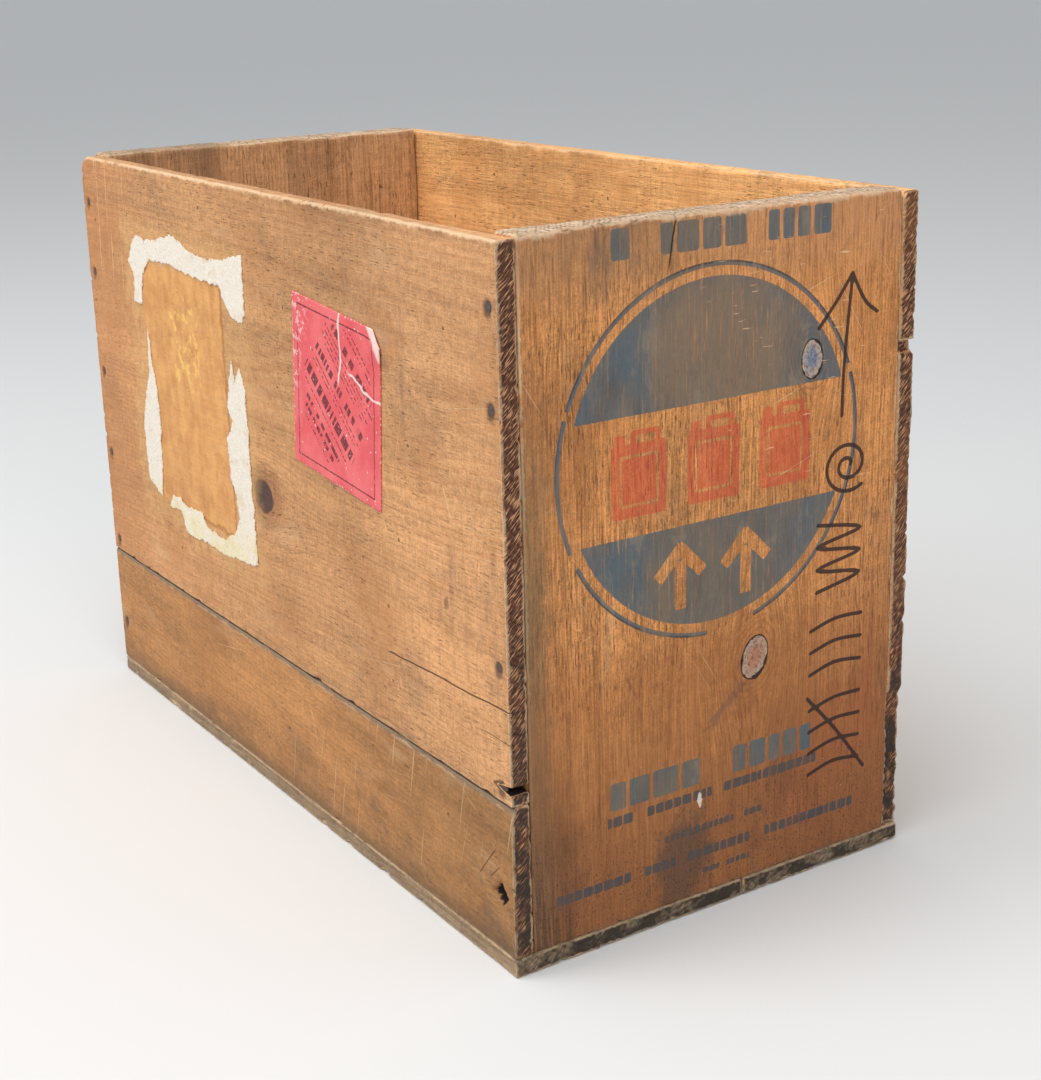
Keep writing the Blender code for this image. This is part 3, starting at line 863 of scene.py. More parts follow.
def label_upper_marks(shade, parts):
    """Smears, old glue, dents and cracks on the board that carries the labels."""
    x, y, z = shade.x, shade.y, shade.z
    step, tint, mark = shade.step, shade.tint, shade.mark
    outer = shade.outer = step(y, LABEL_FACE_Y + SKIN[0], LABEL_FACE_Y + SKIN[1])
    ragged = parts["ragged"] - 0.5
    splinter = parts["splinter"] - 0.5

    # The far end is darker, and smoke-grey smears run down across the grain
    far = step(x + ragged * 0.10, -0.12, -0.25)
    mark(far, 0.42, 176, 112, 66)
    centre = shade.band(x + ragged * 0.08, -0.02, 0.12, 60 * MM)
    shade.cover(centre * outer, (0.86, 0.85, 0.83, 1.0), "MULTIPLY")
    high = step(z + ragged * 0.05, 0.25, 0.33) * step(x, -0.02, 0.10)
    shade.cover(high * outer, (0.86, 0.86, 0.88, 1.0), "MULTIPLY")
    smear = shade.stretched(x * 42.0, z * 8.0, 0.0, 4.0, 0.65)
    smear = step(smear, 0.56, 0.74) * step(x, 0.02, 0.12)
    mark(smear, 0.50, 136, 104, 84)

    scored = long_scratches(shade, 0.08, 520.0, 0.64) * step(x, -0.17, -0.21)
    scored = scored * step(z, 0.27, 0.31)
    other = long_scratches(shade, -0.45, 420.0, 0.735) * step(x, -0.02, 0.06)
    mark(shade.largest(scored, other), 0.45, 236, 200, 158)

    # Old glue where the white label has been torn away
    wood_x = x + ragged * 0.010 + splinter * 0.003
    wood_z = z + ragged * 0.012 + splinter * 0.003
    halo = shade.band(x + ragged * 0.05, -0.188, -0.012, 12 * MM)
    halo = halo * shade.band(z + ragged * 0.05, 0.138, 0.328, 12 * MM)
    tint(halo * outer * step(parts["ragged"], 0.30, 0.62) * 0.34, 226, 182, 118)
    glue = shade.band(wood_x, -0.166, -0.044, 1.6 * MM)
    glue = glue * shade.band(wood_z, 0.153, 0.309, 1.8 * MM) * outer
    lumps = shade.noise(shade.place, 75.0, 4.0, 0.6)
    streak = shade.stretched(x * 150.0, z * 14.0, 0.0, 3.0, 0.6)
    amber = shade.mix(step(lumps + (streak - 0.5) * 0.5, 0.32, 0.70), linear(232, 168, 92),
                      linear(202, 132, 62))
    shade.cover(glue * 0.60, amber)
    rim = shade.band(wood_x, -0.164, -0.046, 0.1 * MM) * shade.band(wood_z, 0.155, 0.307, 0.1 * MM)
    lower_right = step(x - (z - 0.23) * 0.5 + ragged * 0.05, -0.12, -0.07)
    tint((glue - rim * outer) * lower_right * 0.55, 150, 92, 44)
    blots = step(shade.noise(shade.place, 130.0, 3.0, 0.6), 0.50, 0.60)
    middle = shade.band(x + ragged * 0.03, -0.120, -0.085, 6 * MM)
    middle = middle * shade.band(z + ragged * 0.03, 0.243, 0.290, 7 * MM)
    tint(blots * middle * glue * 0.75, 238, 196, 104)

    # Cracks, half-moon hammer dents and clusters of small dents
    cell = shade.cells(shade.place, 46.0)
    moon_pick = shade.split(shade.cells(shade.place, 46.0, "Color"))[2]
    moon = shade.band(cell + splinter * 0.06, 0.150, 0.165, 0.02)
    moon = moon * step(moon_pick, 0.62, 0.66) * step(parts["ragged"], 0.52, 0.58)
    moon = moon * step(x, 0.0, 0.10)
    mark(moon, 0.55, 98, 66, 46)
    crack = crack_line(shade, (0.141, 0.1375), (0.259, 0.1430), 3.0 * MM, 0.45 * MM)
    branch = crack_line(shade, (0.232, 0.1255), (0.2603, 0.1262), 4 * MM, 0.14 * MM)
    crack = shade.largest(crack, branch)
    # A pale strip on the worn top edge: bare worn wood, and in part a painted highlight along it
    rim = TOP_Z - z + ragged * 0.006 + splinter * 0.004
    rim = step(rim, 2.6 * MM, 0.9 * MM) * step(parts["ragged"], 0.34, 0.50)
    mark(rim, 0.60, 232, 198, 158)
    dots = step(shade.cells(shade.place, 330.0) + splinter * 0.4, 0.32, 0.20)
    pick = shade.split(shade.cells(shade.place, 330.0, "Color"))[1]
    cluster = shade.band(x + ragged * 0.16, -0.06, 0.15, 25 * MM)
    cluster = cluster * shade.band(z + ragged * 0.06, 0.300, 0.356, 12 * MM)
    dots = dots * step(pick, 0.52, 0.56) * cluster
    mark(dots, 0.8, 66, 46, 36)
    dent_x = (x - 0.205) / (2.6 * MM)
    dent_z = (z - 0.1825) / (3.4 * MM)
    dent = step(dent_x * dent_x + dent_z * dent_z + splinter * 1.6, 1.2, 0.5) * outer
    tint(dent * 0.6, 112, 84, 66)
    mark(crack, 0.85, 66, 42, 30)
    # Painted shadow in the seam's gap along this board's bottom edge
    gap = step(z, SEAM_Z + 1.4 * MM, SEAM_Z + 0.3 * MM) * outer
    tint(gap * 0.8, 64, 46, 36)
    parts["height"] = parts["height"] - crack * outer * 2.5 - dots - dent * 1.5 + glue * lumps * 0.6
    parts["rough"] = parts["rough"] - glue * 0.16


def label_lower_marks(shade, parts):
    """Grime, scratches, and the worn seam with painted shadow in its gap, on the board below the
    labels.
    """
    x, y, z = shade.x, shade.y, shade.z
    step, mark = shade.step, shade.mark
    outer = shade.outer = step(y, LABEL_FACE_Y + SKIN[0], LABEL_FACE_Y + SKIN[1])
    ragged = parts["ragged"] - 0.5
    grime = shade.stretched(x * 14.0, z * 30.0, 0.0, 5.0, 0.65)
    mark(step(grime, 0.44, 0.74), 0.50, 116, 84, 58)
    smudge = shade.stretched(x * 26.0 + z * 20.0, z * 16.0, 3.0, 4.0, 0.65)
    smudge = step(smudge, 0.56, 0.72) * step(x, 0.0, 0.14)
    mark(smudge, 0.62, 98, 84, 74)
    scored = shade.largest(long_scratches(shade, 0.22, 430.0, 0.70),
                           long_scratches(shade, -0.30, 390.0, 0.72))
    scored = scored * step(x, -0.05, 0.06)
    mark(scored, 0.55, 222, 182, 136)
    mark(step(z + ragged * 0.03, 0.032, 0.008), 0.60, 96, 76, 58)
    near = step(x + ragged * 0.08, 0.06, 0.22)
    shade.cover(near * outer, (0.83, 0.86, 0.88, 1.0), "MULTIPLY")
    crack = crack_line(shade, (0.228, 0.0455), (0.2435, 0.0640), 3.5 * MM, 0.40 * MM)
    branch = crack_line(shade, (0.238, 0.0470), (0.2470, 0.0560), 2.0 * MM, 0.30 * MM)
    crack = shade.largest(crack, branch)
    below = SEAM_Z - z
    chipped = below + ragged * 0.005
    seam = step(chipped, 3.4 * MM, 2.2 * MM) * outer
    shade.tint(seam * 0.72, 126, 110, 92)
    light = shade.band(chipped, 2.6 * MM, 3.6 * MM, 0.6 * MM) * step(parts["ragged"], 0.42, 0.60)
    mark(light, 0.45, 214, 178, 138)
    # Painted shadow: a dark line in the seam's gap along this board's top edge
    mark(step(below, 1.0 * MM, 0.4 * MM), 0.80, 56, 44, 37)
    mark(crack, 0.8, 70, 46, 34)
    parts["height"] = parts["height"] - crack * outer * 2.0


def loose_knot(shade, place):
    """A knot in the printed panel: a leaning oval with a speckled inside and a black outline."""
    step = shade.step
    height, across, radius, heart, rim, lean = place
    off_z = shade.z - height
    off_y = shade.y - across
    long = (off_z * math.cos(lean) + off_y * math.sin(lean)) * 0.80
    short = (off_y * math.cos(lean) - off_z * math.sin(lean)) * 1.12
    away = shade.length(long, short) / radius
    ragged = shade.noise(shade.place, 150.0, 3.0, 0.6) - 0.5
    broad = shade.noise(shade.place, 60.0, 2.0) - 0.5
    edge = away + ragged * 0.20
    swirl = away + broad * 0.9
    rings = shade.math("FRACT", swirl * 3.1)
    halo = step(swirl, 3.4, 1.0) * step(rings, 0.40, 0.90)
    shade.tint(halo * 0.34, 112, 68, 42)
    speckle = shade.noise(shade.place, 620.0, 3.0, 0.7)
    inside = shade.mix(step(edge + ragged * 0.5, 0.25, 0.85), heart, rim)
    inside = shade.mix(step(speckle, 0.54, 0.66) * 0.40, inside, linear(216, 188, 160))
    inside = shade.mix(step(speckle, 0.48, 0.38) * 0.65, inside, linear(92, 66, 56))
    shade.cover(step(edge, 1.04, 0.98), inside)
    thick = step(broad + ragged, -0.04, 0.18) * 0.10 + 0.05
    line = shade.near(edge - 1.0, thick, thick * 0.55)
    shade.tint(line * 0.94, 34, 22, 20)


def printed_marks(shade, parts):
    """The printed panel: its stains, the faded print, the crayon, its knots and its chips."""
    x, y, z = shade.x, shade.y, shade.z
    step, mark = shade.step, shade.mark
    ragged = parts["ragged"] - 0.5
    splinter = parts["splinter"] - 0.5
    hair = parts["hair"] - 0.5
    outer = shade.outer = step(x, PANEL_HIGH.x - SKIN[0], PANEL_HIGH.x - SKIN[1])
    mottle = shade.stretched(0.0, y * 16.0, z * 9.0, 5.0, 0.6)
    dusty = shade.stretched(0.0, y * 34.0, z * 12.0, 5.0, 0.65)
    dark_fibre = shade.stretched(0.0, y * 520.0, z * 34.0, 3.0, 0.65)

    # Browner at the top and the bottom, reddish low on the right, grey beside the label side
    top = step(z + ragged * 0.04, 0.315, 0.362)
    brown = shade.mix(step(y, -0.04, 0.03), linear(152, 114, 82), linear(190, 136, 96))
    shade.cover(top * outer * 0.60, brown)
    low = step(z + (mottle - 0.5) * 0.12, 0.165, 0.02)
    mark(low, 0.72, 122, 78, 50)
    right = step(y + (mottle - 0.5) * 0.06, 0.015, 0.100)
    right = right * step(z, 0.31, 0.10)
    mark(right, 0.26, 132, 74, 46)
    mark(step(mottle, 0.54, 0.70) * step(z, 0.24, 0.14) * step(y, -0.03, 0.02), 0.34, 172, 88, 56)
    mark(step(y + ragged * 0.016, -0.102, -0.113) * step(z, 0.33, 0.20), 0.50, 126, 108, 80)
    mark(step(dusty, 0.55, 0.72) * step(z, 0.27, 0.35) * step(y, 0.02, -0.06), 0.62, 96, 84, 76)
    mark(step(dusty, 0.52, 0.70) * step(z, 0.16, 0.05), 0.48, 86, 64, 48)
    below = step(z + (mottle - 0.5) * 0.05, 0.170, 0.140)
    mark(below, 0.32, 146, 86, 46)
    left = step(y + (mottle - 0.5) * 0.05, -0.080, -0.112)
    mark(left * step(z, 0.33, 0.26), 0.34, 98, 72, 50)
    corner = left * step(z + ragged * 0.05, 0.10, 0.02)
    mark(corner * step(dark_fibre, 0.40, 0.56), 0.60, 64, 50, 40)
    smear = y - 0.008 + (z - 0.118) * -1.1 + ragged * 0.022 + splinter * 0.005
    smear = shade.near(smear, 5.0 * MM, 1.5 * MM)
    smear = smear * shade.band(z + ragged * 0.01, 0.104, 0.122, 3 * MM)
    mark(smear, 0.55, 112, 84, 68)
    veins = step(dark_fibre, 0.54, 0.68) * step(mottle, 0.36, 0.60)
    mark(veins, 0.52, 88, 56, 38)
    off_y = (y + 0.024 + (mottle - 0.5) * 0.05) / 0.015
    off_z = (z - 0.034 + ragged * 0.02) / 0.026
    spill = off_y * off_y + off_z * off_z + ragged * 4.0 + (dark_fibre - 0.5) * 2.0
    spill = step(spill, 2.0, 0.2)
    mark(spill, 0.66, 76, 64, 55)
    mark(step(parts["grit"], 0.56, 0.63) * step(z + ragged * 0.08, 0.14, 0.03), 0.75, 48, 36, 30)

    # Faded print. Each ink's attribute is how far inside its shapes a point is, in mm
    thin = shade.stretched(0.0, y * 640.0, z * 34.0, 3.0, 0.6)
    cool = step(y + (mottle - 0.5) * 0.16, -0.03, 0.09)
    west = step(y + (mottle - 0.5) * 0.16 + (dusty - 0.5) * 0.08, -0.025, -0.090)
    slate = shade.mix(shade.largest(cool, west), linear(100, 98, 92), linear(74, 96, 106))
    slate = shade.mix(step(dusty, 0.44, 0.66) * 0.55, slate, linear(122, 108, 88))
    cloudy = shade.stretched(3.0, y * 52.0, z * 30.0, 5.0, 0.65)
    slate = shade.mix(step(cloudy, 0.50, 0.68) * 0.50, slate, linear(78, 78, 78))
    slate = shade.mix(step(cloudy, 0.48, 0.34) * 0.40, slate, linear(150, 138, 114))
    rub_y = (y - 0.004) / 0.040
    rub_z = (z - 0.306) / 0.034
    rub = step(rub_y * rub_y + rub_z * rub_z + (mottle - 0.5) * 4.0, 1.6, 0.2)
    slate = shade.mix(rub * 0.70, slate, linear(126, 108, 90))
    small = step(z, 0.0725, 0.0715)
    slate = shade.mix(small * 0.75, slate, linear(66, 62, 64))
    ring_y = y - EMBLEM[0]
    ring_z = z - EMBLEM[1]
    from_middle = shade.length(ring_y, ring_z)
    rim = step(from_middle + hair * 0.6 * MM, RING_RADIUS, RING_RADIUS + 0.5 * MM)
    rim = rim * step(from_middle, RING_RADIUS + 2 * RING_WIDTH, RING_RADIUS + RING_WIDTH)
    slate = shade.mix(rim * step(dusty, 0.62, 0.40) * 0.85, slate, linear(44, 46, 56))
    for ink, tint, cover in (("red_print", linear(206, 72, 52), 0.58),
                             ("blue_print", slate, 0.94)):
        inside = shade.attribute(ink) + (thin - 0.5) * 0.7 + hair * 0.6
        share = step(inside, -0.15, 0.20)
        rubbed = 1.0 - step(thin, 0.54, 0.70) * 0.34 - step(mottle, 0.54, 0.72) * 0.16
        rubbed = rubbed - step(parts["late"], 0.35, 0.85) * 0.10
        shade.cover(share * rubbed * cover * outer, tint)
    for place in PANEL_KNOTS:
        loose_knot(shade, place)
    wax = shade.attribute("crayon") + hair * 0.7 + ragged * 0.4
    crayon = step(wax, -0.10, 0.25) * outer
    shade.tint(crayon * 0.92, 48, 35, 33)

    # The drying crack, chips below it, a splash of white paint and pale scuffs
    top_z = PANEL_HIGH.z
    slant = y - (PANEL_LOW.y + 0.0900) + (z - top_z) * -0.19
    crack = shade.near(slant + ragged * 0.002, 0.60 * MM, 0.25 * MM)
    crack = crack * step(z, top_z - 0.030, top_z - 0.020) * outer
    shade.tint(crack * 0.9, 40, 28, 24)
    torn = (top_z - z) + ragged * 0.010 + (dusty - 0.5) * 0.012
    torn = step(torn + splinter * 0.004, 3.0 * MM, 1.0 * MM)
    mark(torn, 0.62, 208, 178, 146)
    paint_y = (y + 0.014 + splinter * 0.002) / (1.7 * MM)
    paint_z = (z - 0.065) / (4.6 * MM)
    paint = step(paint_y * paint_y + paint_z * paint_z + ragged * 2.5, 1.1, 0.7)
    mark(paint, 0.85, 222, 208, 190)
    scuff = shade.stretched(0.0, y * 60.0 + z * 40.0, z * 520.0, 2.0)
    scuff = step(scuff, 0.69, 0.74) * step(z, 0.20, 0.25) * step(y, -0.02, 0.01)
    chips = shade.stretched(0.0, y * 190.0 - z * 60.0, z * 430.0 + y * 90.0, 2.0)
    chips = step(chips, 0.755, 0.785) * step(mottle, 0.42, 0.55)
    scuff = shade.largest(scuff, chips)
    mark(scuff, 0.60, 238, 196, 152)
    parts["height"] = parts["height"] + crayon * 0.4 - crack * 2.5 + veins * -0.3


def inner_shadow_marks(shade, parts):
    """Painted shade, laid as grey-brown smudges and dark streaks, on a board that shows mostly on
    the inside.
    """
    x, y, z = shade.x, shade.y, shade.z
    # Painted shade: blotches and streaks that darken the whole board
    smudge = shade.stretched(x * 6.0, y * 13.0, z * 7.0, 5.0, 0.6)
    shade.tint(shade.step(smudge, 0.46, 0.68) * 0.60, 128, 98, 74)
    streak = shade.stretched(0.0, y * 160.0, z * 7.0, 3.0, 0.65)
    shade.tint(shade.step(streak, 0.54, 0.68) * 0.40, 98, 66, 44)


def plain_side_marks(shade, parts):
    """Streaks up the inner face, where the saw went across the board."""
    x, y, z = shade.x, shade.y, shade.z
    streak = shade.stretched(x * 170.0, 0.0, z * 9.0, 3.0, 0.65)
    shade.tint(shade.step(streak, 0.56, 0.72) * 0.28, 158, 104, 62)
    smear = shade.stretched(x * 9.0, y * 9.0, z * 16.0, 4.0)
    shade.tint(shade.step(smear, 0.52, 0.72) * 0.35, 176, 118, 72)


# ---------------------------------------------------------------- generic print


def box_field(points, centre, half, turn=0.0, rounding=0.0):
    """Signed distance to a turned rectangle with rounded corners, negative inside."""
    off = points - np.array(centre)
    cos, sin = math.cos(turn), math.sin(turn)
    off = np.column_stack((off[:, 0] * cos + off[:, 1] * sin, off[:, 1] * cos - off[:, 0] * sin))
    gap = np.abs(off) - (np.array(half) - rounding)
    outside = np.linalg.norm(np.maximum(gap, 0.0), axis=1)
    return outside + np.minimum(gap.max(axis=1), 0.0) - rounding


def disc_field(points, centre, radius):
    """Signed distance to a disc, negative inside."""
    return np.linalg.norm(points - np.array(centre), axis=1) - radius


def stroke_field(points, path, width):
    """Signed distance to a brush stroke along a path."""
    path = np.array(path)
    nearest = np.full(len(points), FAR)
    for start, end in zip(path[:-1], path[1:]):
        run = end - start
        share = np.clip((points - start) @ run / max(run @ run, 1e-12), 0.0, 1.0)
        foot = start + share[:, None] * run
        nearest = np.minimum(nearest, np.linalg.norm(points - foot, axis=1))
    return nearest - width / 2


def can_field(points, centre):
    """A square can with a handle and a filler cap, seen from the side."""
    body = box_field(points, centre, (0.0165, 0.0185), rounding=2 * MM)
    panel = box_field(points, centre, (0.0120, 0.0130), rounding=2 * MM)
    line = box_field(points, centre, (0.0105, 0.0115), rounding=1.5 * MM)
    body = np.maximum(body, np.minimum(-panel, line))
    top = (centre[0] + 0.004, centre[1] + 0.0205)
    handle = np.maximum(box_field(points, top, (0.009, 0.0045), rounding=2 * MM),
                        -box_field(points, top, (0.006, 0.0020), rounding=1 * MM))
    cap = box_field(points, (centre[0] - 0.0115, centre[1] + 0.0205), (0.0032, 0.0030))
    return np.minimum(np.minimum(body, handle), cap)


def arrow_field(points, centre, scale):
    """An arrow that says which way is up."""
    foot = (centre[0], centre[1] - 0.004 * scale)
    shaft = box_field(points, foot, (0.0028 * scale, 0.010 * scale))
    arms = np.full(len(points), FAR)
    for sign in (-1, 1):
        middle = (centre[0] + sign * 0.0052 * scale, centre[1] + 0.0062 * scale)
        arm = box_field(points, middle, (0.0088 * scale, 0.0027 * scale), -sign * math.radians(45))
        arms = np.minimum(arms, arm)
    return np.minimum(shaft, arms)


def blocks_field(points, random):
    """Rows of plain blocks in place of the lettering."""
    total = np.full(len(points), FAR)
    for bottom, top, words in ROWS:
        height = top - bottom
        for start, end in words:
            place = start
            while place < end - 0.3 * height:
                width = min(end - place, height * random.uniform(0.45, 1.10))
                middle = (place + width / 2, (bottom + top) / 2)
                block = box_field(points, middle, (width / 2, height / 2), rounding=0.10 * height)
                total = np.minimum(total, block)
                place += width + max(1.0 * MM, 0.15 * height)
    return total


def spiral_path(centre, radius, turns, count=40):
    """A spiral that winds out from its centre."""
    path = []
    for step in range(count + 1):
        share = step / count
        angle = turns * math.tau * share
        out = radius * (0.12 + 0.88 * share)
        path.append((centre[0] + out * 1.15 * math.cos(angle), centre[1] + out * math.sin(angle)))
    return path


def smooth_path(path, steps=5):
    """The path rounded through its points (Catmull-Rom)."""
    path = np.array([path[0], *path, path[-1]], dtype=float)
    smooth = []
    for before, start, end, after in zip(path, path[1:], path[2:], path[3:]):
        for t in np.linspace(0.0, 1.0, steps, endpoint=False):
            smooth.append(0.5 * (2 * start + (end - before) * t
                                 + (2 * before - 5 * start + 4 * end - after) * t**2
                                 + (3 * start - before - 3 * end + after) * t**3))
    return np.array([*smooth, path[-1]])


def crayon_paths():
    """Crayon tallies, a scribble, a spiral and an arrow, in the place of the handwriting."""
    paths = []
    for count, first in ((4, 0.0600), (3, 0.1180)):
        for number in range(count):
            z = first + number * 0.0125
            paths.append(((0.0605, z - 0.002), (0.078, z + 0.002), (0.0965, z + 0.0006 * number)))
    paths.append(((0.0590, 0.1030), (0.0800, 0.0800), (0.1010, 0.0530)))
    zigzag = [(0.0640 + 0.0300 * (step % 2), 0.1620 + 0.0062 * step) for step in range(7)]
    paths.append(zigzag)
    paths.append(spiral_path((0.0840, 0.2290), 0.0150, 1.85))
    paths.append(((0.0790, 0.2560), (0.0800, 0.2850), (0.0840, 0.3280)))
    paths.append(((0.0620, 0.3040), (0.0740, 0.3170), (0.0842, 0.3300)))
    paths.append(((0.0842, 0.3300), (0.0930, 0.3150), (0.1020, 0.3080)))
    return paths


def panel_print(world):
    """How far inside each ink's shapes every point of the printed panel is, in millimetres."""
    points = world[:, [Y, Z]]
    random = np.random.default_rng(31)
    disc = disc_field(points, EMBLEM, DISC_RADIUS)
    window = box_field(points, (EMBLEM[0], sum(BAND) / 2), (0.2, (BAND[1] - BAND[0]) / 2))
    blue = np.maximum(disc, -window)
    for shift in (-0.021, 0.021):
        blue = np.maximum(blue, -arrow_field(points, (EMBLEM[0] + shift, 0.1905), 1.25))
    off = points - np.array(EMBLEM)
    ring = np.abs(np.linalg.norm(off, axis=1) - RING_RADIUS) - RING_WIDTH / 2
    angle = np.arctan2(off[:, 1], off[:, 0]) % math.tau
    for middle, half in RING_GAPS:
        away = (half - np.abs(angle - middle)) * RING_RADIUS
        ring = np.maximum(ring, away)
    blue = np.minimum(blue, ring)
    blue = np.minimum(blue, blocks_field(points, random))
    red = np.full(len(points), FAR)
    for shift in (-0.046, 0.0, 0.046):
        red = np.minimum(red, can_field(points, (EMBLEM[0] + shift, sum(BAND) / 2 - 2 * MM)))
    crayon = np.full(len(points), FAR)
    near = points[:, 0] > 0.045
    for path in crayon_paths():
        stroke = stroke_field(points[near], smooth_path(path), 2.3 * MM)
        crayon[near] = np.minimum(crayon[near], stroke)
    fields = (("blue_print", blue), ("red_print", red), ("crayon", crayon))
    return [(name, np.clip(-field / MM, -20, 20)) for name, field in fields]


# ---------------------------------------------------------------- nails


# A nail's head as radius and depth from its top, in mm, and the shank's radius
NAIL_HEAD = ((0.0, -0.10), (0.9, -0.06), (1.9, 0.02), (2.7, 0.12), (3.1, 0.30), (3.2, 0.62),
             (3.0, 0.92), (2.1, 1.05), (1.25, 1.25), (1.1, 1.8))
NAIL_SHANK = 1.15 * MM
NAIL_SIDES = 22


def rusty_steel():
    """Dark steel with rust in patches."""
    shade = Shade("rusty_nail_steel")
    flakes = shade.noise(shade.place, 900.0, 4.0, 0.7)
    patches = shade.noise(shade.place, 300.0, 2.0)
    shade.colour = shade.mix(shade.step(flakes, 0.35, 0.7), linear(58, 52, 52),
                             linear(118, 104, 96))
    shade.tint(shade.step(patches, 0.50, 0.66) * 0.55, 112, 70, 50)
    shade.shader.inputs["Metallic"].default_value = 0.35
    shade.surface(shade.line(flakes, 0.3, 0.7, 0.50, 0.85), 0.4)
    shade.bump(flakes, 0.25 * MM, 1.0)
    return shade.material


def build_nails(material):
    """Each nail as a hammered turning along its CAD node's own axis."""
    sides = NAIL_SIDES
    for number, (node, (place, direction)) in enumerate(sorted(nails.items())):
        along = node_points(node) @ direction
        length = along.max() - along.min()
        rows = [(radius * MM, depth * MM) for radius, depth in NAIL_HEAD[1:]]
        for share in (0.1, 0.25, 0.45, 0.65, 0.85):
            rows.append((NAIL_SHANK, length * share))
        rows.append((NAIL_SHANK * 0.9, length - 3.6 * MM))
        rows.append((NAIL_SHANK * 0.35, length - 0.8 * MM))
        angles = np.linspace(0.0, math.tau, sides, endpoint=False)
        points = [np.array((0.0, 0.0, NAIL_HEAD[0][1] * MM))]
        for radius, depth in rows:
            ring = np.column_stack((np.cos(angles), np.sin(angles), np.zeros(sides)))
            points.extend(ring * np.array((radius, radius, 0.0)) + np.array((0.0, 0.0, depth)))
        points.append(np.array((0.0, 0.0, length)))
        points = np.array(points)
        noise = Noise(500 + number)
        dent = noise(points, 2.2 * MM) * 0.30 * MM * (points[:, 2] < 1.2 * MM)
        squash = 1.0 + 0.10 * noise(points * 0 + number, 1.0)
        out = np.linalg.norm(points[:, :2], axis=1, keepdims=True)
        points[:, :2] += points[:, :2] / np.maximum(out, 0.3 * MM) * dent[:, None]
        points[:, 0] *= np.where(points[:, 2] < 1.2 * MM, squash, 1.0)
        points[:, 2] = np.maximum(points[:, 2] + dent * 0.5, -0.2 * MM)
        faces = []
        for step in range(sides):
            following = (step + 1) % sides
            faces.append([0, 1 + following, 1 + step])
            for row in range(len(rows) - 1):
                start = 1 + row * sides
                faces.append([start + step, start + following, start + sides + following,
                              start + sides + step])
            last = 1 + (len(rows) - 1) * sides
            faces.append([last + step, last + following, len(points) - 1])
        turn = np.array(Vector(direction).to_track_quat("Z", "Y").to_matrix())
        world = points @ turn.T + place
        nail = finish_mesh("rusty_" + node, world, faces, material)
        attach(nail, "root")
        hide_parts(node)


# ---------------------------------------------------------------- labels


def outline_of(node):
    """The outline of a flat CAD label, along x and z, in order round it."""
    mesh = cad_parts[node].data
    front = min(vertex.co.y for vertex in mesh.vertices)
    # The CAD mesh doesn't share its corners, so places stand for them
    spots = {v.index: (round(v.co.x, 6), round(v.co.z, 6)) for v in mesh.vertices
             if v.co.y < front + 0.05 * MM}
    directed = set()
    for polygon in mesh.polygons:
        if all(index in spots for index in polygon.vertices):
            ring = [spots[index] for index in polygon.vertices]
            directed.update(zip(ring, ring[1:] + ring[:1]))
    following = {a: b for a, b in directed if (b, a) not in directed}
    start = min(following)
    ring = [start]
    while following[ring[-1]] != start:
        ring.append(following[ring[-1]])
    return np.array(ring)


def ragged_outline(outline, step, amount, feature, noise):
    """The outline with close points, moved in and out like torn paper."""
    points = []
    for start, end in zip(outline, np.roll(outline, -1, axis=0)):
        count = max(1, int(np.linalg.norm(end - start) / step))
        points += [start + (end - start) * share / count for share in range(count)]
    points = np.array(points)
    ahead = np.roll(points, -1, axis=0) - np.roll(points, 1, axis=0)
    ahead /= np.maximum(np.linalg.norm(ahead, axis=1, keepdims=True), 1e-9)
    normal = np.column_stack((ahead[:, 1], -ahead[:, 0]))
    flat = np.column_stack((points, np.zeros(len(points))))
    move = noise(flat, feature) * amount + noise(flat, feature * 0.35) * amount * 0.6
    move += noise(flat, feature * 0.16) * amount * 0.35
    return points + normal * move[:, None]


def paper(name, node, material, step, amount, feature, lift, seed):
    """A label as a thin closed sheet: front, back and rim, wrinkled off the board."""
    noise = Noise(seed)
    outline = ragged_outline(outline_of(node), step, amount, feature, noise)
    low, high = outline.min(axis=0), outline.max(axis=0)
    count_x, count_z = ((high - low) / (step * 1.3)).astype(int)
    grid = np.array([(low[0] + (high[0] - low[0]) * (i + 0.5 * (j % 2)) / count_x,
                      low[1] + (high[1] - low[1]) * j / count_z)
                     for i in range(1, count_x) for j in range(1, count_z)])
    edges = [(i, (i + 1) % len(outline)) for i in range(len(outline))]
    every = [Vector(p) for p in np.concatenate((outline, grid))]
    border = [list(range(len(outline)))]
    verts, _, tris, *_ = delaunay_2d_cdt(every, edges, border, 1, TINY)
    flat = np.array([vertex[:] for vertex in verts])
    used = sorted({index for tri in tris for index in tri})
    renumber = {index: position for position, index in enumerate(used)}
    flat = flat[used]
    tris = [[renumber[index] for index in tri] for tri in tris]
    cad_front, cad_back = (corner.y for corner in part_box(node))
    plane = np.column_stack((flat, np.zeros(len(flat))))
    rim_gap = np.min(np.linalg.norm(flat[:, None] - outline[None, ::3], axis=2), axis=1)
    raise_by = lift(flat, rim_gap, noise(plane, 9 * MM), noise(plane, 3 * MM))
    front = np.column_stack((flat[:, 0], cad_front - raise_by, flat[:, 1]))
    back = np.column_stack((flat[:, 0], cad_back + 0.15 * MM - raise_by * 0.9, flat[:, 1]))
    world = np.concatenate((front, back))
    shift = len(flat)
    directed = [edge for tri in tris for edge in zip(tri, tri[1:] + tri[:1])]
    known = set(directed)
    faces = tris + [[index + shift for index in tri[::-1]] for tri in tris]
    faces += [[b, a, a + shift, b + shift] for a, b in directed if (b, a) not in known]
    attributes = [("rim", np.concatenate((rim_gap, rim_gap)) / MM)]
    normal = np.cross(world[tris[0][1]] - world[tris[0][0]], world[tris[0][2]] - world[tris[0][0]])
    if normal[1] > 0:
        faces = [face[::-1] for face in faces]
    made = finish_mesh(name, world, faces, material, attributes)
    for polygon in made.data.polygons[2 * len(tris):]:
        polygon.use_smooth = False
    uv_of_paper(made.data, low, high)
    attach(made, "root")
    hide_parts(node)


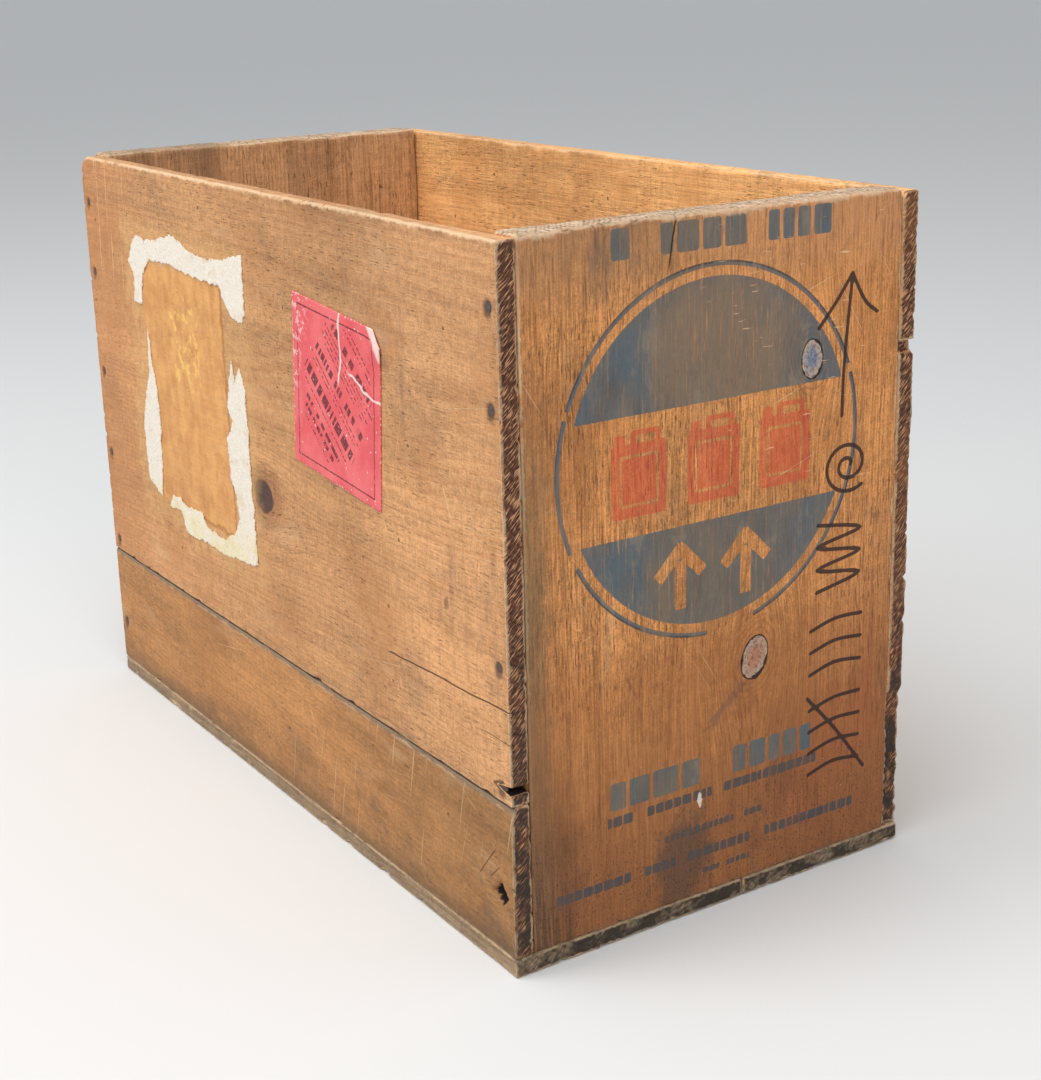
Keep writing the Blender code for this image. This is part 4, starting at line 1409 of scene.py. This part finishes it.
def uv_of_paper(mesh, low, high):
    """The bake's UV map: the front on the left half and the back on the right."""
    loops = np.zeros(len(mesh.loops), int)
    mesh.loops.foreach_get("vertex_index", loops)
    places = np.zeros(len(mesh.vertices) * 3)
    mesh.vertices.foreach_get("co", places)
    places = places.reshape(-1, 3)[loops]
    half = len(mesh.vertices) // 2
    span = max(high[0] - low[0], high[1] - low[1]) * 2.1
    u = (places[:, 0] - low[0]) / span + 0.01 + 0.5 * (loops >= half)
    v = (places[:, 2] - low[1]) / span + 0.01
    layer = mesh.uv_layers.new(name="OFBake")
    layer.data.foreach_set("uv", np.column_stack((u, v)).astype(np.float32).ravel())


def red_paper():
    """Pink-red paper with a thin frame, plain bars in place of words, creases and rubs."""
    shade = Shade("red_label_paper")
    step = shade.step
    outline = outline_of("red_label")
    middle = (outline.min(axis=0) + outline.max(axis=0)) / 2
    tilt = math.radians(-5.0)
    off_x = shade.x - float(middle[0])
    off_z = shade.z - float(middle[1])
    u = off_x * math.cos(tilt) + off_z * math.sin(tilt)
    v = off_z * math.cos(tilt) - off_x * math.sin(tilt)
    fibre = shade.noise(shade.place, 700.0, 4.0, 0.65)
    cloud = shade.noise(shade.place, 55.0, 3.0)
    shade.colour = shade.mix(step(cloud, 0.3, 0.7), linear(219, 88, 93), linear(230, 112, 113))
    shade.tint(step(fibre, 0.55, 0.75) * 0.35, 246, 160, 156)
    frame_gap = shade.largest(shade.math("ABSOLUTE", u), shade.math("ABSOLUTE", v))
    border = shade.band(frame_gap, 0.0424, 0.0430, 0.25 * MM)
    inside = step(frame_gap, 0.0410, 0.0400)

    # Bars in slanting rows, bold in the middle, like blocked-out print
    lean = math.radians(-38.0)
    run = u * math.cos(lean) + v * math.sin(lean)
    rise = v * math.cos(lean) - u * math.sin(lean)
    rows = ((0.0420, 0.7, 16.0), (0.0385, 0.7, 20.0), (0.0300, 2.5, 27.0), (0.0245, 0.6, 33.0),
            (0.0215, 0.6, 30.0), (0.0185, 0.6, 32.0), (0.0155, 0.6, 26.0), (0.0070, 2.6, 32.0),
            (0.0010, 0.6, 34.0), (-0.0020, 0.6, 30.0), (-0.0105, 3.4, 34.0), (-0.0180, 0.6, 30.0),
            (-0.0245, 1.6, 24.0), (-0.0300, 1.6, 20.0), (-0.0355, 0.7, 18.0))
    ink = None
    for number, (place, half, reach) in enumerate(rows):
        row = shade.near(rise - place, half * MM, (half - 0.35) * MM)
        pitch = 330.0 if half > 1 else 620.0
        gaps = shade.stretched(run * pitch, 3.7 * number, 0.0, 0.0)
        row = row * step(gaps, 0.44, 0.49)
        row = row * shade.near(run, reach * MM, (reach - 1.0) * MM)
        ink = row if ink is None else shade.largest(ink, row)
    ink = shade.largest(ink * inside, border)
    ink = ink * step(fibre, 0.72, 0.50)
    shade.tint(ink * 0.86, 70, 28, 38)

    # A crease down the upper middle, and rubs that show the white of the paper
    bend = shade.noise(shade.place, 60.0, 2.0) - 0.5
    crease = shade.near(u - 0.006 + bend * 0.010, 1.3 * MM, 0.5 * MM)
    crease = crease * step(v, 0.006, 0.014)
    corner = step(u + v + bend * 0.012, 0.080, 0.084)
    tear = v - 0.017 + (u - 0.02) * 0.25 + bend * 0.012
    flap = shade.near(tear, 1.1 * MM, 0.4 * MM) * step(u, 0.012, 0.018)
    peel = shade.noise(shade.place, 230.0, 4.0, 0.65)
    rim = step(shade.attribute("rim") + (cloud - 0.5) * 3.0 + (peel - 0.5) * 4.0, 0.5, 0.2)
    worn_side = step(u - v * 0.3 + bend * 0.02, -0.038, -0.050)
    rim = shade.largest(rim, worn_side * step(peel, 0.53, 0.56) * 0.8)
    flecks = step(shade.noise(shade.place, 420.0, 2.0), 0.70, 0.74)
    white = shade.largest(crease, corner, flap, rim * 0.8, flecks)
    shade.tint(white * 0.85, 243, 214, 206)
    shade.surface(shade.line(fibre, 0.3, 0.7, 0.62, 0.80), 0.25)
    shade.bump(fibre * 0.5 - crease * 1.5 + cloud * 1.0, 0.30 * MM, 0.7)
    return shade.material


def white_paper():
    """Torn white paper with loose fibres, yellowed where glue soaked through."""
    shade = Shade("white_label_paper")
    step, tint = shade.step, shade.tint
    fibre = shade.noise(shade.place, 900.0, 5.0, 0.7)
    cloud = shade.noise(shade.place, 70.0, 4.0, 0.6)
    shade.colour = shade.mix(step(fibre, 0.35, 0.7), linear(222, 211, 194), linear(243, 236, 226))
    tint(step(cloud, 0.52, 0.72) * 0.45, 212, 186, 148)
    low = step(shade.z, 0.175, 0.140) * step(cloud, 0.35, 0.60)
    tint(low * 0.55, 226, 210, 142)
    thin = step(shade.attribute("rim") + (cloud - 0.5) * 5.0, 1.0, 0.2)
    tint(thin * 0.45, 206, 172, 128)
    dirt = step(shade.noise(shade.place, 260.0, 3.0), 0.60, 0.72)
    tint(dirt * 0.30, 176, 146, 112)
    shade.surface(0.85, 0.2)
    shade.bump(fibre + cloud * 1.5, 0.40 * MM, 0.9)
    return shade.material


def red_lift(flat, rim_gap, broad, fine):
    """How far the red label stands off: a curled upper corner and faint wrinkles."""
    corner = flat.max(axis=0)
    near = np.linalg.norm(flat - (corner - np.array((0.006, 0.018))), axis=1)
    curl = 2.2 * MM * smooth_step(14 * MM - near, 0.0, 14 * MM)
    crease = 0.25 * MM * np.abs(broad)
    return curl * 0.6 + crease + 0.05 * MM * fine


def scrap_lift(flat, rim_gap, broad, fine):
    """How far a torn scrap stands off, more along its rim."""
    loose = smooth_step(3.0 * MM - rim_gap, 0.0, 3 * MM)
    return np.clip(0.20 * MM * fine + 0.35 * MM * broad * loose, -0.05 * MM, 0.6 * MM)


def build_labels():
    """The red label and the three scraps that are left of the white one."""
    red = red_paper()
    white = white_paper()
    paper("red_paper_label", "red_label", red, 1.1 * MM, 0.20 * MM, 4 * MM,
          red_lift, 71)
    for number, side in enumerate(("top", "left", "right")):
        paper(f"white_paper_scrap_{side}", f"white_scrap_{side}", white,
              0.75 * MM, 1.2 * MM, 5.0 * MM, scrap_lift, 81 + number)


# ---------------------------------------------------------------- the crate


def board_looks():
    """Each board: its axes, seed, edge wear, chips, slot, figure and own marks."""
    side = (linear(209, 156, 107), linear(176, 116, 69))
    plain = (linear(244, 187, 122), linear(214, 147, 89))
    lower = (linear(188, 134, 82), linear(154, 101, 56))
    panel = (linear(212, 146, 86), linear(164, 100, 55))
    far = (linear(204, 156, 110), linear(152, 104, 68))
    bottom = (linear(156, 132, 104), linear(112, 90, 68))
    inner_knot = (0.09, 0.20, 0.009, (0.13, 0.07, 0.05, 1), (0.05, 0.03, 0.02, 1), 0.5)
    far_knot = (0.21, -0.03, 0.009, (0.13, 0.07, 0.05, 1), (0.05, 0.03, 0.02, 1), 0.5)
    return (
        ("label_side_upper_board", X, Z, True, 0, 11, 0.9, 1.4, "side_wood",
         WoodLook("xzy", (0.30, -0.060), (0.020, 0.035), 3.0 * MM, *side, 0.36, (SIDE_KNOT,), 3.1,
                  brush=0.34, flecks=0.63),
         label_upper_marks),
        ("label_side_lower_board", X, Z, True, 0, 12, 0.8, 1.1, "side_wood",
         WoodLook("xzy", (-0.04, -0.06), (-0.02, 0.03), 2.8 * MM, *lower, 0.34, (), 7.7,
                  brush=0.40, flecks=0.64, sawn=0.20),
         label_lower_marks),
        ("plain_side_upper_board", X, Z, False, 0, 13, 1.0, 1.1, "side_wood",
         WoodLook("xzy", (0.42, 0.19), (0.02, 0.03), 3.0 * MM, *plain, 0.38, (), 12.9),
         plain_side_marks),
        ("plain_side_lower_board", X, Z, False, 0, 14, 1.0, 1.3, "side_wood",
         WoodLook("xzy", (0.12, 0.20), (-0.03, 0.03), 3.3 * MM, *plain, 0.38, (inner_knot,), 21.3),
         plain_side_marks),
        ("printed_end_panel", Y, Z, False, 1, 15, 1.0, 1.0, "end_wood",
         WoodLook("zyx", (-0.30, 0.16), (0.012, 0.02), 2.1 * MM, *panel, 0.46, PANEL_KNOTS, 33.0,
                  "pale", 0.75, 1.7, 1.0, 0.60, 0.10, knots_show=False), printed_marks),
        ("plain_end_panel", Y, Z, True, 1, 16, 1.0, 1.0, "end_wood",
         WoodLook("zyx", (0.20, -0.34), (0.02, 0.02), 2.9 * MM, *far, 0.40, (far_knot,), 41.0,
                  "pale", 0.75), inner_shadow_marks),
        ("bottom_board_label_side", X, Y, True, 0, 17, 1.2, 1.9, "bottom_wood",
         WoodLook("xyz", (-0.05, 0.09), (0.02, 0.03), 3.2 * MM, *bottom, 0.5, (), 52.0, "grey"),
         None),
        ("bottom_board_plain_side", X, Y, True, 0, 18, 1.2, 1.9, "bottom_wood",
         WoodLook("xyz", (0.11, 0.10), (-0.02, 0.03), 3.0 * MM, *bottom, 0.5, (), 61.0, "grey"),
         None),
    )


def build_boards():
    """Every board, with its mesh closest round the nails and the empty nail hole."""
    for node, u, v, outer_is_low, grain_axis, seed, edge, chips, slot, look, marks in board_looks():
        board = Board(node, u, v, outer_is_low, grain_axis, seed, edge, chips)
        more = None
        hot = [board.to_local(place)[1] for place, direction in nails.values()
               if abs(direction[board.w]) > 0.9 and abs(board.to_local(place)[2]) < 2 * MM]
        hot = [place for place in hot if 0 < place < board.size[1]]
        if node == "printed_end_panel":
            board.fine = board.coarse = PRINT_PITCH
            board.stride = 3
            more = panel_print
        if node == "label_side_lower_board":
            hot.append(board.to_local(LOST_NAIL)[1])
        made = build_board(board, wood("wood_of_" + node, look, marks), more, hot)


# ---------------------------------------------------------------- studio


def area_light(name, place, target, size, power, colour):
    """A round soft light aimed at the target."""
    light = bpy.data.lights.new(name, "AREA")
    light.shape = "DISK"
    light.size = size
    light.energy = power
    light.color = colour
    made = bpy.data.objects.new(name, light)
    made.location = place
    made.rotation_euler = (Vector(place) - Vector(target)).to_track_quat("Z", "Y").to_euler()
    bpy.context.scene.collection.objects.link(made)


def build_studio():
    """A plain pale floor, an even pale sky and three soft lights."""
    floor_mesh = bpy.data.meshes.new("studio_floor")
    half = FLOOR_WIDTH / 2
    corners = [(-half, -half, 0.0), (half, -half, 0.0), (half, half, 0.0), (-half, half, 0.0)]
    floor_mesh.from_pydata(corners, [], [(0, 1, 2, 3)])
    floor = bpy.data.objects.new("studio_floor", floor_mesh)
    floor.location.z = cad_low.z - 0.4 * MM
    bpy.context.scene.collection.objects.link(floor)
    finish = bpy.data.materials.new("pale_floor")
    finish.use_nodes = True
    shader = finish.node_tree.nodes["Principled BSDF"]
    shader.inputs["Base Color"].default_value = (0.72, 0.72, 0.71, 1)
    shader.inputs["Roughness"].default_value = 0.9
    floor_mesh.materials.append(finish)
    world = bpy.data.worlds.new("soft_studio")
    world.use_nodes = True
    sky = world.node_tree.nodes["Background"]
    sky.inputs["Color"].default_value = (0.93, 0.96, 1.0, 1.0)
    sky.inputs["Strength"].default_value = 0.62
    bpy.context.scene.world = world
    middle = (0.0, 0.0, 0.18)
    area_light("key_light", (-0.9, -2.1, 1.7), middle, 1.6, 22.0, (1.0, 0.98, 0.95))
    area_light("end_light", (2.3, -0.6, 1.5), middle, 1.4, 16.0, (1.0, 0.98, 0.96))
    area_light("top_light", (0.2, -0.8, 2.4), middle, 1.6, 30.0, (1.0, 1.0, 1.0))


def build_camera():
    """The camera at the photograph's place and angle."""
    cos_azimuth, sin_azimuth = math.cos(CAMERA_AZIMUTH), math.sin(CAMERA_AZIMUTH)
    cos_elevation, sin_elevation = math.cos(CAMERA_ELEVATION), math.sin(CAMERA_ELEVATION)
    back = Vector((sin_azimuth * cos_elevation, -cos_azimuth * cos_elevation, sin_elevation))
    level_right = Vector((cos_azimuth, sin_azimuth, 0.0))
    level_up = back.cross(level_right)
    right = level_right * math.cos(CAMERA_ROLL) + level_up * math.sin(CAMERA_ROLL)
    up = back.cross(right)
    camera = bpy.data.cameras.new("photo_camera")
    camera.lens = CAMERA_LENS
    camera.sensor_width = 36.0
    camera.shift_y = CAMERA_SHIFT_Y
    camera.clip_start = 0.01
    made = bpy.data.objects.new("photo_camera", camera)
    turn = Matrix((right, up, back)).transposed()
    made.matrix_world = Matrix.Translation(CAMERA_PLACE) @ turn.to_4x4()
    bpy.context.scene.collection.objects.link(made)
    bpy.context.scene.camera = made


build_boards()
build_nails(rusty_steel())
build_labels()
build_studio()
build_camera()
bpy.context.scene.view_settings.view_transform = "Standard"
